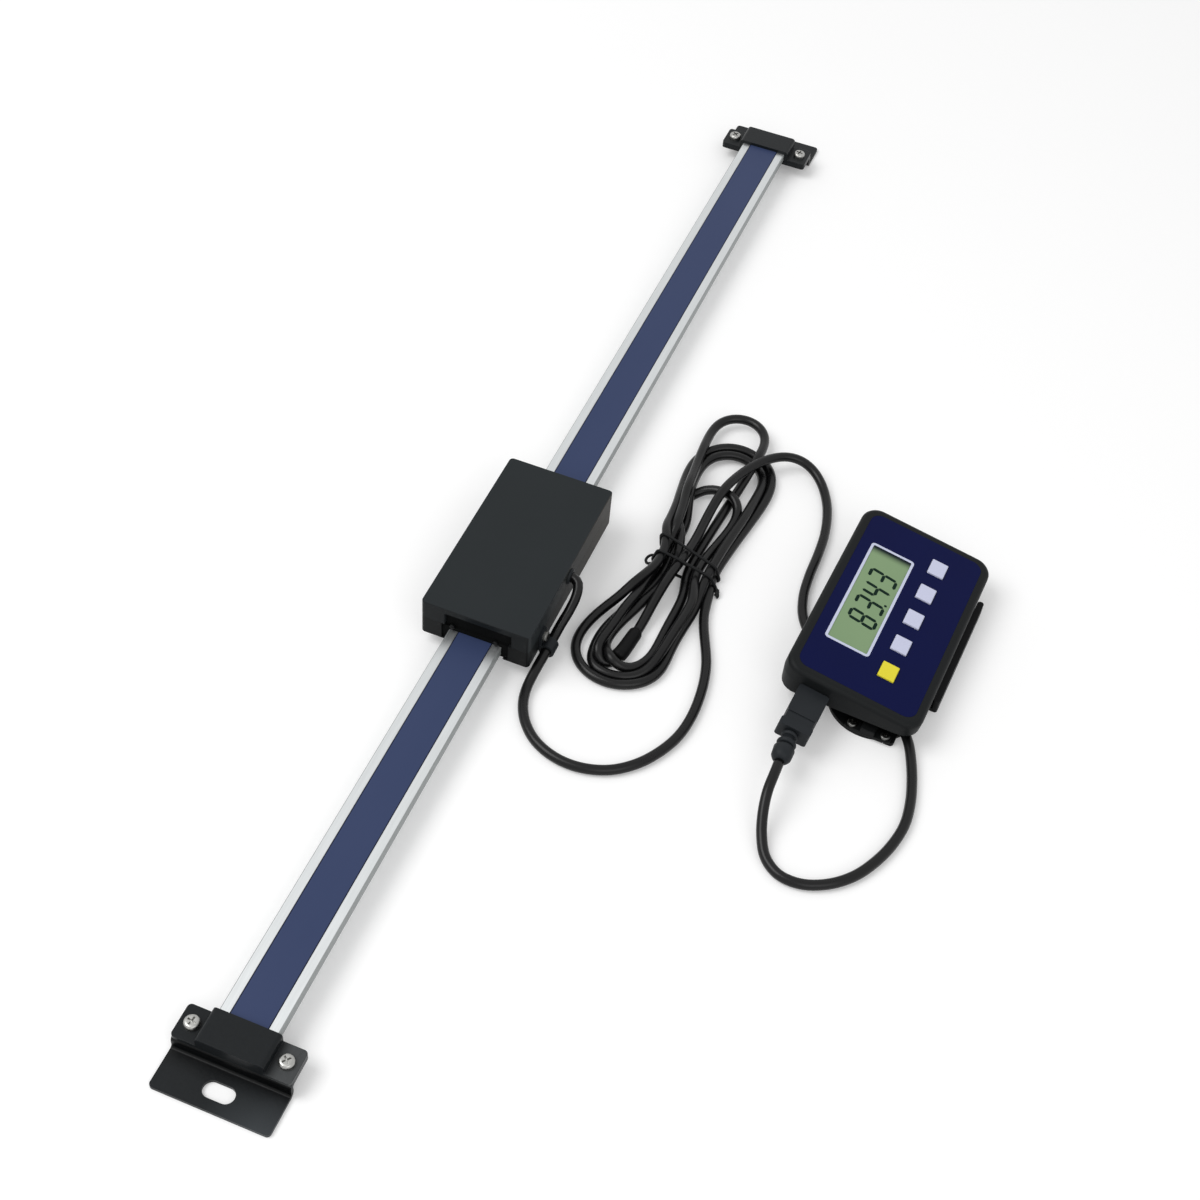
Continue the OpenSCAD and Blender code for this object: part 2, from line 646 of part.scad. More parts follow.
module rear_case() color(plastic_black) at_readout() difference() {
    rear_solid();
    difference() {
        rear_solid(case_wall, rear_floor, -2);
        // seats of the case screws
        tilted() translate([0, 0, -2 * case_h]) four(boss_u, boss_v) cylinder(r = case_boss_r, h = 2 * case_h);
    }
    tilted() translate([0, 0, -2 * case_h]) four(boss_u, boss_v) {
        cylinder(r = case_screw_r + screw_gap, h = 2 * case_h);
        cylinder(r = case_screw_head_r + screw_gap, h = 2 * case_h - front_h - case_screw_seat);
    }
    // opening for the socket
    tilted() translate([-case_l / 2 - 1, socket_v - socket_w / 2 - 0.2, socket_drop - socket_h / 2 - 0.2])
        cube([case_wall + 2, socket_w + 0.4, socket_h + 0.4]);
    // battery hatch and holes of the stand's screws
    translate([battery_u, battery_y, stand_h - 1]) cylinder(r = battery_r + 1.2, h = rear_floor + 2);
    translate([0, stand_screw_y, 0]) for (s = [-1, 1]) translate([s * stand_screw_x, 0, stand_h - 1])
        cylinder(r = stand_screw_r + screw_gap, h = rear_floor + 2);
}

module face_overlay() color([0.09, 0.1, 0.3]) on_face() difference() {
    translate([0, 0, -overlay_t])
        round_block(overlay_l - 0.1, overlay_w - 0.1, overlay_t, overlay_r);
    translate([lcd_u, lcd_v, 0]) bar(lcd_l, lcd_w, 2, -1);
    key_places() bar(key_l + 2 * key_gap, key_w + 2 * key_gap, 2, -1);
}

module lcd_window() color([0.8, 0.85, 0.8, 0.4]) on_face() translate([lcd_u, lcd_v, 0])
    bar(lcd_l - 0.1, lcd_w - 0.1, 1, -overlay_t - 0.8);

module lcd_glass() color([0.55, 0.62, 0.52]) on_face() translate([lcd_u, lcd_v, 0])
    bar(lcd_l, lcd_w, -front_top_t - rb_top, rb_top);

module readout_board() color(board_green) on_face() difference() {
    bar(rb_l, rb_w, rb_t, rb_top - rb_t);
    four(boss_u, boss_v) translate([0, 0, rb_top - 2 * rb_t]) cylinder(r = case_boss_r + 0.3, h = 3 * rb_t);
}

// Silicone mat with a dome under each key
mat_dome_top = -front_top_t - run_gap - key_flange_t - key_travel - 0.1;
module key_mat() color([0.8, 0.8, 0.82]) on_face() {
    translate([key_u, key_v, 0]) bar(4 * key_pitch + key_l + 2, key_w + 2, mat_t, rb_top);
    key_places() translate([0, 0, rb_top])
        cylinder(r1 = mat_dome_r, r2 = mat_dome_r - 0.8, h = mat_dome_top - rb_top);
}

module key_cap(i, tint) color(tint) on_face() translate([key_u + i * key_pitch, key_v, 0]) {
    bar(key_l, key_w, key_proud + front_top_t + run_gap, -front_top_t - run_gap);
    bar(key_l + 2 * key_flange, key_w + 2 * key_flange, key_flange_t, -front_top_t - run_gap - key_flange_t);
}

module key_absolute() key_cap(2, key_lavender);
module key_set() key_cap(1, key_lavender);
module key_zero() key_cap(0, key_lavender);
module key_units() key_cap(-1, key_lavender);
module key_power() key_cap(-2, [0.9, 0.82, 0.2]);

// On the socket's axis at the case's near end
module at_socket() on_face() translate([-case_l / 2, socket_v, socket_drop]) children();

module usb_socket() color(bright_steel) at_socket() difference() {
    w = socket_w;
    h = socket_h;
    translate([0.2, -w / 2, -h / 2]) cube([socket_l, w, h]);
    translate([-1, -w / 2 + 0.4, -h / 2 + 0.4]) cube([socket_l, w - 0.8, h - 0.8]);
}

module plug_shell() color(bright_steel) at_socket()
    translate([-plug_gap, -socket_w / 2 + 0.5, -socket_h / 2 + 0.5]) cube([6.8, socket_w - 1, socket_h - 1]);

// Moulded plug: a stepped body with finger hollows, and a neck towards the lead
module plug_body() color(plastic_black) at_socket() translate([-plug_gap, 0, 0])
    difference() {
        front = plug_l * 0.6;
        union() {
            translate([-front / 2, 0, -plug_h / 2]) linear_extrude(plug_h) round_rect(front, plug_w, 1.2);
            translate([-plug_l / 2 - 1, 0, -plug_h / 2 + 0.4]) linear_extrude(plug_h - 0.8)
                round_rect(plug_l - 2, plug_w - 1.6, 1.2);
            translate([-plug_l + 2.4, 0, -plug_h / 2 - 0.2]) linear_extrude(plug_h + 0.4)
                round_rect(4.8, plug_w + 0.4, 1.2);
        }
        for (s = [-1, 1]) translate([-plug_l * 0.66, s * (plug_w / 2 + 5.6), -plug_h])
            cylinder(r = 6.4, h = 2 * plug_h);
    }

relief_ribs = 4;
module strain_relief() color(plastic_black) at_socket() translate([-plug_reach, 0, 0]) rotate([0, -90, 0]) {
        cylinder(r1 = cord_r + 0.9, r2 = cord_r + 0.35, h = relief_l);
        for (i = [0:relief_ribs - 1]) translate([0, 0, i * relief_l / relief_ribs])
            cylinder(r = cord_r + 1.4 - 0.2 * i, h = relief_l / relief_ribs * 0.55);
    }

// Point behind the socket on its own axis, in the whole model's coordinates
function behind_socket(reach) = let (
        u = -case_l / 2 - reach,
        v = socket_v * cos(face_tilt) - socket_drop * sin(face_tilt),
        h = face_z + socket_v * sin(face_tilt) + socket_drop * cos(face_tilt))
    [readout_x + u * cos(readout_yaw) - v * sin(readout_yaw),
        readout_y + u * sin(readout_yaw) + v * cos(readout_yaw), h];

module readout_cord() color(coat_black) tube(concat(readout_route,
    [behind_socket(plug_reach + relief_l + 6), behind_socket(plug_reach + relief_l)]), cord_r);

module battery() color(bright_steel) at_readout()
    translate([battery_u, battery_y, stand_h + rear_floor + 0.1]) cylinder(r = battery_r, h = battery_h);

module battery_clip() color([0.8, 0.7, 0.4]) at_readout() translate([battery_u, battery_y, 0]) difference() {
    bar(battery_clip_w, 2 * battery_r + 3, battery_h + 0.9, stand_h + rear_floor);
    bar(battery_clip_w + 2, 2 * battery_r + 0.4, battery_h + 0.4, stand_h + rear_floor - 0.2);
}

module battery_cover() color(plastic_black) at_readout() translate([battery_u, battery_y, stand_h]) difference() {
    cylinder(r = battery_r + 1.1, h = rear_floor);
    translate([-5, -0.7, -1]) cube([10, 1.4, 1.7]);
}

module case_screws() color(bright_steel) on_face() translate([0, 0, -front_h - case_screw_seat])
    four(boss_u, boss_v) rotate([180, 0, 0]) pan_screw(case_screw_r, case_screw_l, case_screw_head_r, 1.1);

// Stand: thin disc and spine under the case, with a lip along the case's lower side
module stand() color(plastic_black) at_readout() difference() {
    union() {
        translate([disc_u, disc_v, 0]) cylinder(r = disc_r, h = stand_t, $fn = 96);
        translate([-case_l / 2 + tab_l / 2 + 0.6, tab_v + tab_w / 2, 0])
            round_block(tab_l, tab_w, stand_t, 1.5);
        translate([0, stand_screw_y, 0]) bar(spine_l, spine_w, stand_t);
        // pillars that carry the case
        translate([0, stand_screw_y, 0]) bar(3 * stand_screw_x, pillar_w, stand_h);
        translate([rest_u, 0, 0]) bar(rest_l, 2 * (rear_half - rest_inset), stand_t);
        translate([rest_u, pillar_w / 2, 0]) bar(rest_l - 4, pillar_w, stand_h);
        // lip beside the case
        translate([lip_u, lip_y, 0]) round_block(lip_l, lip_t, lip_h, lip_t / 2 - 0.1);
        translate([lip_u, lip_y - lip_t / 2 + lip_foot_w / 2, 0]) round_block(lip_l, lip_foot_w, stand_t, lip_t / 2 - 0.1);
    }
    translate([0, stand_screw_y, -1]) for (s = [-1, 1]) translate([s * stand_screw_x, 0, 0])
        cylinder(r = stand_screw_r + screw_gap, h = stand_h + 2);
    for (s = [-1, 1]) translate([keeper_u, keeper_v + s * keeper_gap / 2, -1])
        cylinder(r = case_screw_r + screw_gap, h = stand_t + 2);
}

module stand_screws() color(bright_steel) at_readout() translate([0, stand_screw_y, 0.4])
    for (s = [-1, 1]) translate([s * stand_screw_x, 0, 0]) cylinder(r = stand_screw_r, h = stand_h + 0.6);

module disc_keeper() color(plastic_black) at_readout() translate([keeper_u, keeper_v, stand_t]) difference() {
    union() {
        round_block(keeper_w, keeper_gap + 5, keeper_t, 1.6);
        bar(keeper_w, 5.4, 3.3);
    }
    for (s = [-1, 1]) translate([0, s * keeper_gap / 2, -1]) cylinder(r = case_screw_r + screw_gap, h = 4);
}

module keeper_screws() color(bright_steel) at_readout() for (s = [-1, 1])
    translate([keeper_u, keeper_v + s * keeper_gap / 2, stand_t + keeper_t]) rotate(25 * s)
        pan_screw(case_screw_r, 2.4, 1.9, 1.2);

beam();
measuring_grid();
blue_film();
near_bracket();
far_bracket();
near_end_cap();
far_end_cap();
near_cap_screws();
far_cap_screws();
head_housing();
head_cover();
head_base_plate();
head_screws();
slide_pads();
fixed_guides();
gib_strip();
gib_screws();
near_wiper();
far_wiper();
sensor_board();
board_screws();
reader_chip();
cable_header();
cable_grommet();
cable_clip();
clip_screw();
head_cord();
cord_hank();
hank_tie();
inline_sleeve();
readout_cord();
strain_relief();
plug_body();
plug_shell();
front_case();
rear_case();
face_overlay();
lcd_window();
lcd_glass();
readout_board();
key_mat();
key_absolute();
key_set();
key_zero();
key_units();
key_power();
usb_socket();
battery();
battery_clip();
battery_cover();
case_screws();
stand();
stand_screws();
disc_keeper();
keeper_screws();
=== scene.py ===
"""Slim digital linear scale: aluminium beam on two end brackets, sliding reader head with a
bundled lead, and a separate display lying beside it. Lengths in metres, +X along the beam."""

import bmesh
import bpy
import json
import math
import numpy as np
from mathutils import Matrix, Vector

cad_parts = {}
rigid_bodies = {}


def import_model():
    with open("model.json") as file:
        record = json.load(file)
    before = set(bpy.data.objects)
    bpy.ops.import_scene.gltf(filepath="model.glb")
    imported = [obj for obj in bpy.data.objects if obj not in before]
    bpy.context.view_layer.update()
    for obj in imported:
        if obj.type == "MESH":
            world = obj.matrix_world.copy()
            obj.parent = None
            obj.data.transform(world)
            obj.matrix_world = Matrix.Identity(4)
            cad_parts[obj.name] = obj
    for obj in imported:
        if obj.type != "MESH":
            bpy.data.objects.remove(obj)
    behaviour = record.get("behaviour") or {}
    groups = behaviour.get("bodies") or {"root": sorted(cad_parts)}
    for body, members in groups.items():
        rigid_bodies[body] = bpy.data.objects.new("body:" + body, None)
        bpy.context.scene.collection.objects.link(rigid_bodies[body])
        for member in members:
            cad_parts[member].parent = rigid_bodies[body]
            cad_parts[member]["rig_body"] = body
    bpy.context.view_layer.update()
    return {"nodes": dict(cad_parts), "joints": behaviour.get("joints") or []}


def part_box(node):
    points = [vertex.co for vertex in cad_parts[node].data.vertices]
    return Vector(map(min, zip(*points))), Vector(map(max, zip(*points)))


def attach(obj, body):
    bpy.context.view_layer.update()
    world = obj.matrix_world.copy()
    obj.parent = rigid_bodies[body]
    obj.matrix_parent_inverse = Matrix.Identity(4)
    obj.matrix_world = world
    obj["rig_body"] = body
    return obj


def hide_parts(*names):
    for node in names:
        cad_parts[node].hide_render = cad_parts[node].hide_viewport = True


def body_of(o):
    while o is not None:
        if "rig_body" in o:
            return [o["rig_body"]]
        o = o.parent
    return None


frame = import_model()
MM = 0.001
HEAD = "reader_head"
scene = bpy.context.scene


def added(name, data):
    """A new object in the scene."""
    obj = bpy.data.objects.new(name, data)
    scene.collection.objects.link(obj)
    return obj


# ---- Camera --------------------------------------------------------------------------------

CAMERA_AT = (-0.4892, -0.1701, 0.5392)
CAMERA_RIGHT = (0.3685, -0.9269, 0.0712)
CAMERA_UP = (0.6838, 0.3222, 0.6547)
CAMERA_LENS = 55.66

lens = bpy.data.cameras.new("camera")
lens.sensor_width = 36
lens.lens = CAMERA_LENS
lens.clip_start = 0.01
camera = added("camera", lens)
right = Vector(CAMERA_RIGHT).normalized()
up = Vector(CAMERA_UP)
up = (up - right * up.dot(right)).normalized()
turn = Matrix((right, up, right.cross(up))).transposed().to_4x4()
camera.matrix_world = Matrix.Translation(CAMERA_AT) @ turn
scene.camera = camera

# ---- Shader maths and materials ------------------------------------------------------------


class Val:
    """A shader socket that takes part in sums."""

    def __init__(self, tree, socket):
        self.tree = tree
        self.socket = socket

    def calc(self, kind, *values, held=False):
        """A maths node of that kind on its values, its result kept from 0 to 1 if held."""
        node = self.tree.nodes.new("ShaderNodeMath")
        node.operation = kind
        node.use_clamp = held
        for place, value in enumerate(values):
            if isinstance(value, Val):
                self.tree.links.new(value.socket, node.inputs[place])
            else:
                node.inputs[place].default_value = value
        return Val(self.tree, node.outputs[0])

    def __add__(self, other):
        return self.calc("ADD", self, other)

    def __sub__(self, other):
        return self.calc("SUBTRACT", self, other)

    def __rsub__(self, other):
        return self.calc("SUBTRACT", other, self)

    def __neg__(self):
        return self.calc("MULTIPLY", self, -1.0)

    def __mul__(self, other):
        return self.calc("MULTIPLY", self, other)

    def __truediv__(self, other):
        return self.calc("DIVIDE", self, other)

    def __pow__(self, other):
        return self.calc("POWER", self, other)

    __radd__ = __add__
    __rmul__ = __mul__

    def size(self):
        return self.calc("ABSOLUTE", self)

    def fraction(self):
        return self.calc("FRACT", self)

    def under(self, other):
        return self.calc("LESS_THAN", self, other)

    def over(self, other):
        return self.calc("GREATER_THAN", self, other)

    def held(self):
        return self.calc("ADD", self, 0.0, held=True)


class Nodes:
    """A node tree under construction."""

    def __init__(self, tree):
        self.tree = tree

    def node(self, kind, settings=(), values=(), out=0):
        """A node of that kind, its settings made first, then its values and links."""
        made = self.tree.nodes.new(kind)
        for key, value in dict(settings).items():
            setattr(made, key, value)
        for key, value in dict(values).items():
            if isinstance(value, Val):
                self.tree.links.new(value.socket, made.inputs[key])
            else:
                made.inputs[key].default_value = value
        return Val(self.tree, made.outputs[out])


class Finish(Nodes):
    """A material under construction."""

    def __init__(self, name):
        self.material = bpy.data.materials.new(name)
        self.material.use_nodes = True
        super().__init__(self.material.node_tree)
        self.shader = self.tree.nodes["Principled BSDF"]

    def place(self):
        return self.node("ShaderNodeTexCoord", out="Object")

    def axes(self):
        place = self.place()
        return [self.node("ShaderNodeSeparateXYZ", (), {0: place}, out=k) for k in range(3)]

    def noise(self, scale, stretch=(1, 1, 1), detail=3.0):
        times = {"operation": "MULTIPLY"}
        place = self.node("ShaderNodeVectorMath", times, {0: self.place(), 1: stretch})
        values = {"Vector": place, "Scale": scale, "Detail": detail, "Roughness": 0.5}
        return self.node("ShaderNodeTexNoise", (), values)

    def mixed(self, part, first, second):
        """A colour between two, by a value from 0 to 1."""
        first, second = (c if isinstance(c, Val) else (*c, 1) for c in (first, second))
        values = {0: part, 6: first, 7: second}
        return self.node("ShaderNodeMix", {"data_type": "RGBA"}, values, out=2)

    def set(self, name, value):
        socket = self.shader.inputs[name]
        if isinstance(value, Val):
            self.tree.links.new(value.socket, socket)
        else:
            socket.default_value = value

    def bump(self, height, depth):
        """Relief of that depth in metres, from a height of 0 to 1."""
        values = {"Strength": 1.0, "Distance": depth, "Height": height}
        self.set("Normal", self.node("ShaderNodeBump", (), values))


def linear(*rgb):
    """Linear colour of a screen colour given from 0 to 255."""
    return tuple((c / 255 / 12.92) if c < 11 else ((c / 255 + 0.055) / 1.055) ** 2.4 for c in rgb)


def tinted(colour, factor):
    """A linear colour made darker or lighter."""
    return tuple(min(c * factor, 1) for c in colour)


def plastic(name, colour, rough, grain=2600.0, spread=0.12, shine=0.11):
    """Moulded plastic with a fine eroded grain."""
    f = Finish(name)
    fine = f.noise(grain, detail=2.0)
    cloud = f.noise(35.0, detail=3.0)
    f.set("Base Color", f.mixed(cloud, tinted(colour, 1 - spread), tinted(colour, 1 + spread)))
    f.set("Roughness", rough - 0.06 + cloud * 0.06 + fine * 0.06)
    f.set("Specular IOR Level", shine)
    f.bump(fine, 0.02 * MM)
    return f.material


def coated(name, colour):
    """Powder coat with orange peel, with painted shade in the bends of the feet. The near foot and
    the brim under the near screws carry a painted highlight on the cord side."""
    outer = float(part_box("far_bracket")[1][0])
    foot_depth = 14 * MM
    brim_from, brim_to = 6 * MM, 9.2 * MM
    f = Finish(name)
    x, y, z = f.axes()
    peel = f.noise(900.0, detail=1.5)
    fine = f.noise(4200.0, detail=1.0)
    foot = z.under(brim_from)
    reach = ((x.size() - (outer - foot_depth)) / foot_depth).held()
    near = x.under(0.0)
    # Masks for the painted highlights on the cord side of the near foot and the brim
    side = near * ((-y + 2 * MM) / (18 * MM)).held()
    brim = near * z.over(brim_from) * z.under(brim_to) * ((-y - 11 * MM) / (5 * MM)).held()
    base = f.mixed(peel, tinted(colour, 0.85), tinted(colour, 1.2))
    # Painted shade in the bends of the feet, fading out towards their outer ends
    base = f.mixed(foot * (1.0 - reach * 2.2).held(), base, tinted(colour, 0.2))
    # Painted highlight on the cord side of the near foot, growing towards its outer end
    base = f.mixed(foot * reach * side, base, linear(54, 58, 61))
    # Painted highlight on the brim under the near screws, on the cord side
    base = f.mixed(brim * (0.75 + peel * 0.25), base, linear(70, 72, 73))
    f.set("Base Color", base)
    f.set("Roughness", 0.29 + fine * 0.1)
    f.set("Specular IOR Level", 0.15)
    f.bump(peel * 0.8 + fine * 0.2, 0.04 * MM)
    return f.material


def metal(name, colour, rough, stretch=(1, 1, 1), grain=800.0):
    """Metal whose fine tool marks run along the axis that isn't stretched."""
    f = Finish(name)
    marks = f.noise(grain, stretch, detail=3.0)
    cloud = f.noise(60.0, detail=2.0)
    f.set("Base Color", f.mixed(marks, tinted(colour, 0.9), tinted(colour, 1.06)))
    f.set("Roughness", rough - 0.08 + marks * 0.1 + cloud * 0.06)
    f.set("Metallic", 1.0)
    f.bump(marks, 0.006 * MM)
    return f.material


def board(name):
    """Circuit board: green resist over fine tracks."""
    f = Finish(name)
    x, y, _ = f.axes()
    lines = ((x * 900.0).fraction().under(0.35) + (y * 700.0).fraction().under(0.3)).held()
    cloud = f.noise(120.0)
    f.set("Base Color", f.mixed(lines * cloud, linear(18, 70, 42), linear(40, 112, 66)))
    f.set("Roughness", 0.3 + cloud * 0.2)
    f.bump(lines, 0.03 * MM)
    return f.material


def rubber(name, colour, rough=0.5, grain=1800.0, shine=0.13):
    """Soft moulded rubber or PVC with a faint haze."""
    f = Finish(name)
    fine = f.noise(grain, detail=2.0)
    haze = f.noise(90.0, detail=3.0)
    f.set("Base Color", f.mixed(haze, tinted(colour, 0.8), tinted(colour, 1.25)))
    f.set("Roughness", rough - 0.08 + haze * 0.12 + fine * 0.05)
    f.set("Specular IOR Level", shine)
    f.bump(fine, 0.012 * MM)
    return f.material


CHARCOAL = linear(36, 40, 42)
COAT_BLACK = linear(22, 25, 27)
CORD_BLACK = linear(11, 11, 12)
NAVY = linear(7, 14, 60)
LAVENDER = linear(200, 203, 226)

bracket_finish = coated("black_coat", COAT_BLACK)
steel_finish = metal("bright_steel", linear(168, 168, 165), 0.32)
dark_steel_finish = metal("dark_steel", linear(104, 104, 102), 0.3)
plate_finish = metal("plain_steel", linear(156, 158, 160), 0.38, (1, 0.04, 1), 1500.0)
grid_finish = board("etched_grid")
board_finish = board("circuit_board")
cord_finish = rubber("cord_sheath", CORD_BLACK, 0.28, shine=0.26)
moulding_finish = rubber("soft_moulding", linear(33, 36, 39), 0.46)
sleeve_finish = rubber("sleeve_rubber", linear(13, 13, 14), 0.55, shine=0.1)
wire_finish = rubber("tie_wire", linear(22, 23, 24), 0.4)
case_finish = plastic("case_plastic", linear(22, 24, 25), rough=0.48)
stand_finish = plastic("stand_plastic", linear(18, 19, 20), rough=0.5)
felt_finish = rubber("felt", linear(13, 14, 14), 0.9, 900.0, shine=0.05)
pad_finish = plastic("pad_plastic", linear(224, 222, 210), rough=0.4)
chip_finish = plastic("chip_epoxy", linear(24, 24, 25), rough=0.6)
connector_finish = plastic("connector_nylon", linear(222, 218, 200), rough=0.5)
mat_finish = rubber("silicone_mat", linear(200, 202, 208), 0.5)
KEY_LOOK = dict(rough=0.42, grain=1800.0, spread=0.05)
key_finish = plastic("key_plastic", LAVENDER, **KEY_LOOK)
power_finish = plastic("power_key_plastic", linear(226, 214, 62), **KEY_LOOK)
line_finish = plastic("printed_line", linear(198, 203, 224), rough=0.4, spread=0.05)
digit_finish = plastic("display_segments", linear(14, 36, 28), rough=0.35, spread=0.1, shine=0.06)


def film():
    """Satin blue film over the measuring strip, with painted shade along its two cut edges."""
    low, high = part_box("blue_film")
    f = Finish("blue_film")
    y = f.axes()[1]
    edge = (y - float(low[1] + high[1]) / 2).size().over(float(high[1] - low[1]) / 2 - 0.3 * MM)
    haze = f.noise(25.0, (0.3, 1, 1), detail=4.0)
    fine = f.noise(1500.0, (0.1, 1, 1), detail=2.0)
    base = f.mixed(haze, linear(48, 60, 92), linear(60, 70, 102))
    # Painted shade along the film's two cut edges, in the gaps beside it
    f.set("Base Color", f.mixed(edge, base, linear(22, 26, 44)))
    f.set("Roughness", 0.36 + haze * 0.1 + fine * 0.05)
    f.set("Specular IOR Level", 0.12)
    f.bump(fine, 0.006 * MM)
    return f.material


def overlay():
    """Printed face film: deep navy behind a slightly glossy surface."""
    f = Finish("face_film")
    fine = f.noise(2200.0, detail=2.0)
    haze = f.noise(40.0, detail=3.0)
    f.set("Base Color", f.mixed(haze, tinted(NAVY, 0.88), tinted(NAVY, 1.12)))
    f.set("Roughness", 0.34 + fine * 0.1)
    f.set("Specular IOR Level", 0.07)
    f.bump(fine, 0.008 * MM)
    return f.material


def display_glass(along, far_end):
    """Reflective liquid crystal, grey green, in the shade of its frame at the far end."""
    f = Finish("display_glass")
    fine = f.noise(1400.0, detail=1.0)
    haze = f.noise(30.0, detail=3.0)
    dot = {"operation": "DOT_PRODUCT"}
    reach = f.node("ShaderNodeVectorMath", dot, {0: f.place(), 1: tuple(along)}, out=1)
    shade = ((reach - (far_end - 4.2 * MM)) / (3.4 * MM)).held() ** 1.6
    glass = f.mixed(haze, linear(122, 148, 112), linear(134, 158, 120))
    f.set("Base Color", f.mixed(shade, glass, linear(20, 34, 34)))
    f.set("Roughness", 0.3 + fine * 0.06)
    f.set("Specular IOR Level", 0.12)
    f.bump(fine, 0.002 * MM)
    return f.material


def head_plastic(name, colour):
    """Charcoal plastic, with painted shade on its near face and a painted highlight towards the far
    end of its cord side.
    """
    low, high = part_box("head_cover")
    f = Finish(name)
    x, y, _ = f.axes()
    fine = f.noise(2600.0, detail=2.0)
    cloud = f.noise(35.0, detail=3.0)
    front = x.under(float(low[0]) + 0.3 * MM)
    side = y.under(float(low[1]) + 0.3 * MM) * ((x - float(high[0]) + 60 * MM) / (50 * MM)).held()
    base = f.mixed(cloud, tinted(colour, 0.88), tinted(colour, 1.12))
    # Painted highlight towards the far end of the cord side
    base = f.mixed(side, base, linear(62, 60, 57))
    # Painted shade over the near face
    f.set("Base Color", f.mixed(front, base, tinted(colour, 0.45)))
    f.set("Roughness", 0.44 + cloud * 0.06 + fine * 0.06)
    f.set("Specular IOR Level", 0.11)
    f.bump(fine, 0.02 * MM)
    return f.material


def drawn_aluminium(name, colour, side_shade_colour):
    """Aluminium drawn along X, bright on top, with painted shade on its two sides, which are also
    rougher and less metallic.
    """
    low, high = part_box("beam")
    f = Finish(name)
    y = f.axes()[1]
    marks = f.noise(2600.0, (0.03, 1, 1), detail=3.0)
    cloud = f.noise(60.0, detail=2.0)
    side = (y - float(low[1] + high[1]) / 2).size().over(float(high[1] - low[1]) / 2 - 0.35 * MM)
    base = f.mixed(marks, tinted(colour, 0.92), tinted(colour, 1.06))
    # Painted shade on the beam's two sides
    f.set("Base Color", f.mixed(side, base, side_shade_colour))
    f.set("Roughness", 0.3 + marks * 0.1 + cloud * 0.06 + side * 0.15)
    f.set("Metallic", 1.0 - side * 0.5)
    f.bump(marks, 0.006 * MM)
    return f.material


head_top_finish = head_plastic("head_plastic", CHARCOAL)
head_low_finish = head_plastic("housing_plastic", linear(24, 26, 27))
# The second colour is the painted shade on the beam's sides
beam_finish = drawn_aluminium("drawn_aluminium", linear(208, 211, 212), linear(154, 158, 158))
film_finish = film()
overlay_finish = overlay()

# ---- Making pieces -------------------------------------------------------------------------


def wear(obj, material):
    """Puts one material on a piece."""
    obj.data.materials.clear()
    obj.data.materials.append(material)


def piece(name, verts, faces, material, body, smooth=True):
    """A piece made from corners and faces, riding on that body."""
    mesh = bpy.data.meshes.new(name)
    mesh.from_pydata([tuple(v) for v in verts], [], faces)
    mesh.update()
    obj = added(name, mesh)
    mesh.shade_smooth() if smooth else mesh.shade_flat()
    wear(obj, material)
    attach(obj, body)
    return obj


def box_of(low, high):
    """Corners and outward faces of a box."""
    ranges = list(zip(low, high))
    verts = [(x, y, z) for x in ranges[0] for y in ranges[1] for z in ranges[2]]
    sides = [(0, 1, 3, 2), (4, 6, 7, 5), (0, 4, 5, 1), (2, 3, 7, 6), (0, 2, 6, 4), (1, 5, 7, 3)]
    return verts, sides


def home(node):
    """The body that a CAD node rides on."""
    return body_of(frame["nodes"][node])[0]


def baked(obj):
    """Replaces a piece's modifiers by the mesh that they give."""
    graph = bpy.context.evaluated_depsgraph_get()
    mesh = bpy.data.meshes.new_from_object(obj.evaluated_get(graph))
    obj.modifiers.clear()
    obj.data = mesh


def grown(name, build, material, body, given, verts=(), edges=()):
    """A piece made by a tree of geometry nodes, its named inputs given by value."""
    tree = bpy.data.node_groups.new(name, "GeometryNodeTree")
    made = Nodes(tree)
    kinds = {"Geometry": "NodeSocketGeometry"}
    kinds.update((label, kind) for label, (kind, _) in given.items())
    kinds["Material"] = "NodeSocketMaterial"
    names = {}
    for label, kind in kinds.items():
        names[label] = tree.interface.new_socket(label, in_out="INPUT", socket_type=kind).identifier
    tree.interface.new_socket("Geometry", in_out="OUTPUT", socket_type="NodeSocketGeometry")
    source = tree.nodes.new("NodeGroupInput")
    inputs = {label: Val(tree, source.outputs[label]) for label in names}
    shape = build(made, inputs)
    smooth = made.node("GeometryNodeSetShadeSmooth", (), {"Geometry": shape})
    real = made.node("GeometryNodeRealizeInstances", (), {"Geometry": smooth})
    worn_by = {"Geometry": real, "Material": inputs["Material"]}
    worn = made.node("GeometryNodeSetMaterial", (), worn_by)
    tree.links.new(worn.socket, tree.nodes.new("NodeGroupOutput").inputs[0])
    mesh = bpy.data.meshes.new(name)
    mesh.from_pydata([tuple(v) for v in verts], edges, [])
    obj = added(name, mesh)
    grow = obj.modifiers.new("grow", "NODES")
    grow.node_group = tree
    grow[names["Material"]] = material
    for label, (_, value) in given.items():
        grow[names[label]] = value
    baked(obj)
    work = bmesh.new()
    work.from_mesh(obj.data)
    bmesh.ops.recalc_face_normals(work, faces=work.faces)
    work.to_mesh(obj.data)
    work.free()
    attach(obj, body)
    return obj


def circle(made, radius, steps):
    """A round profile of that many corners."""
    values = {"Radius": radius, "Resolution": steps}
    return made.node("GeometryNodeCurvePrimitiveCircle", (), values)


def wire(made, inputs):
    """Round wire along every edge path that the piece starts with."""
    paths = made.node("GeometryNodeMeshToCurve", (), {"Mesh": inputs["Geometry"]})
    section = circle(made, inputs["Radius"], 10)
    values = {"Curve": paths, "Profile Curve": section, "Fill Caps": True}
    return made.node("GeometryNodeCurveToMesh", (), values)


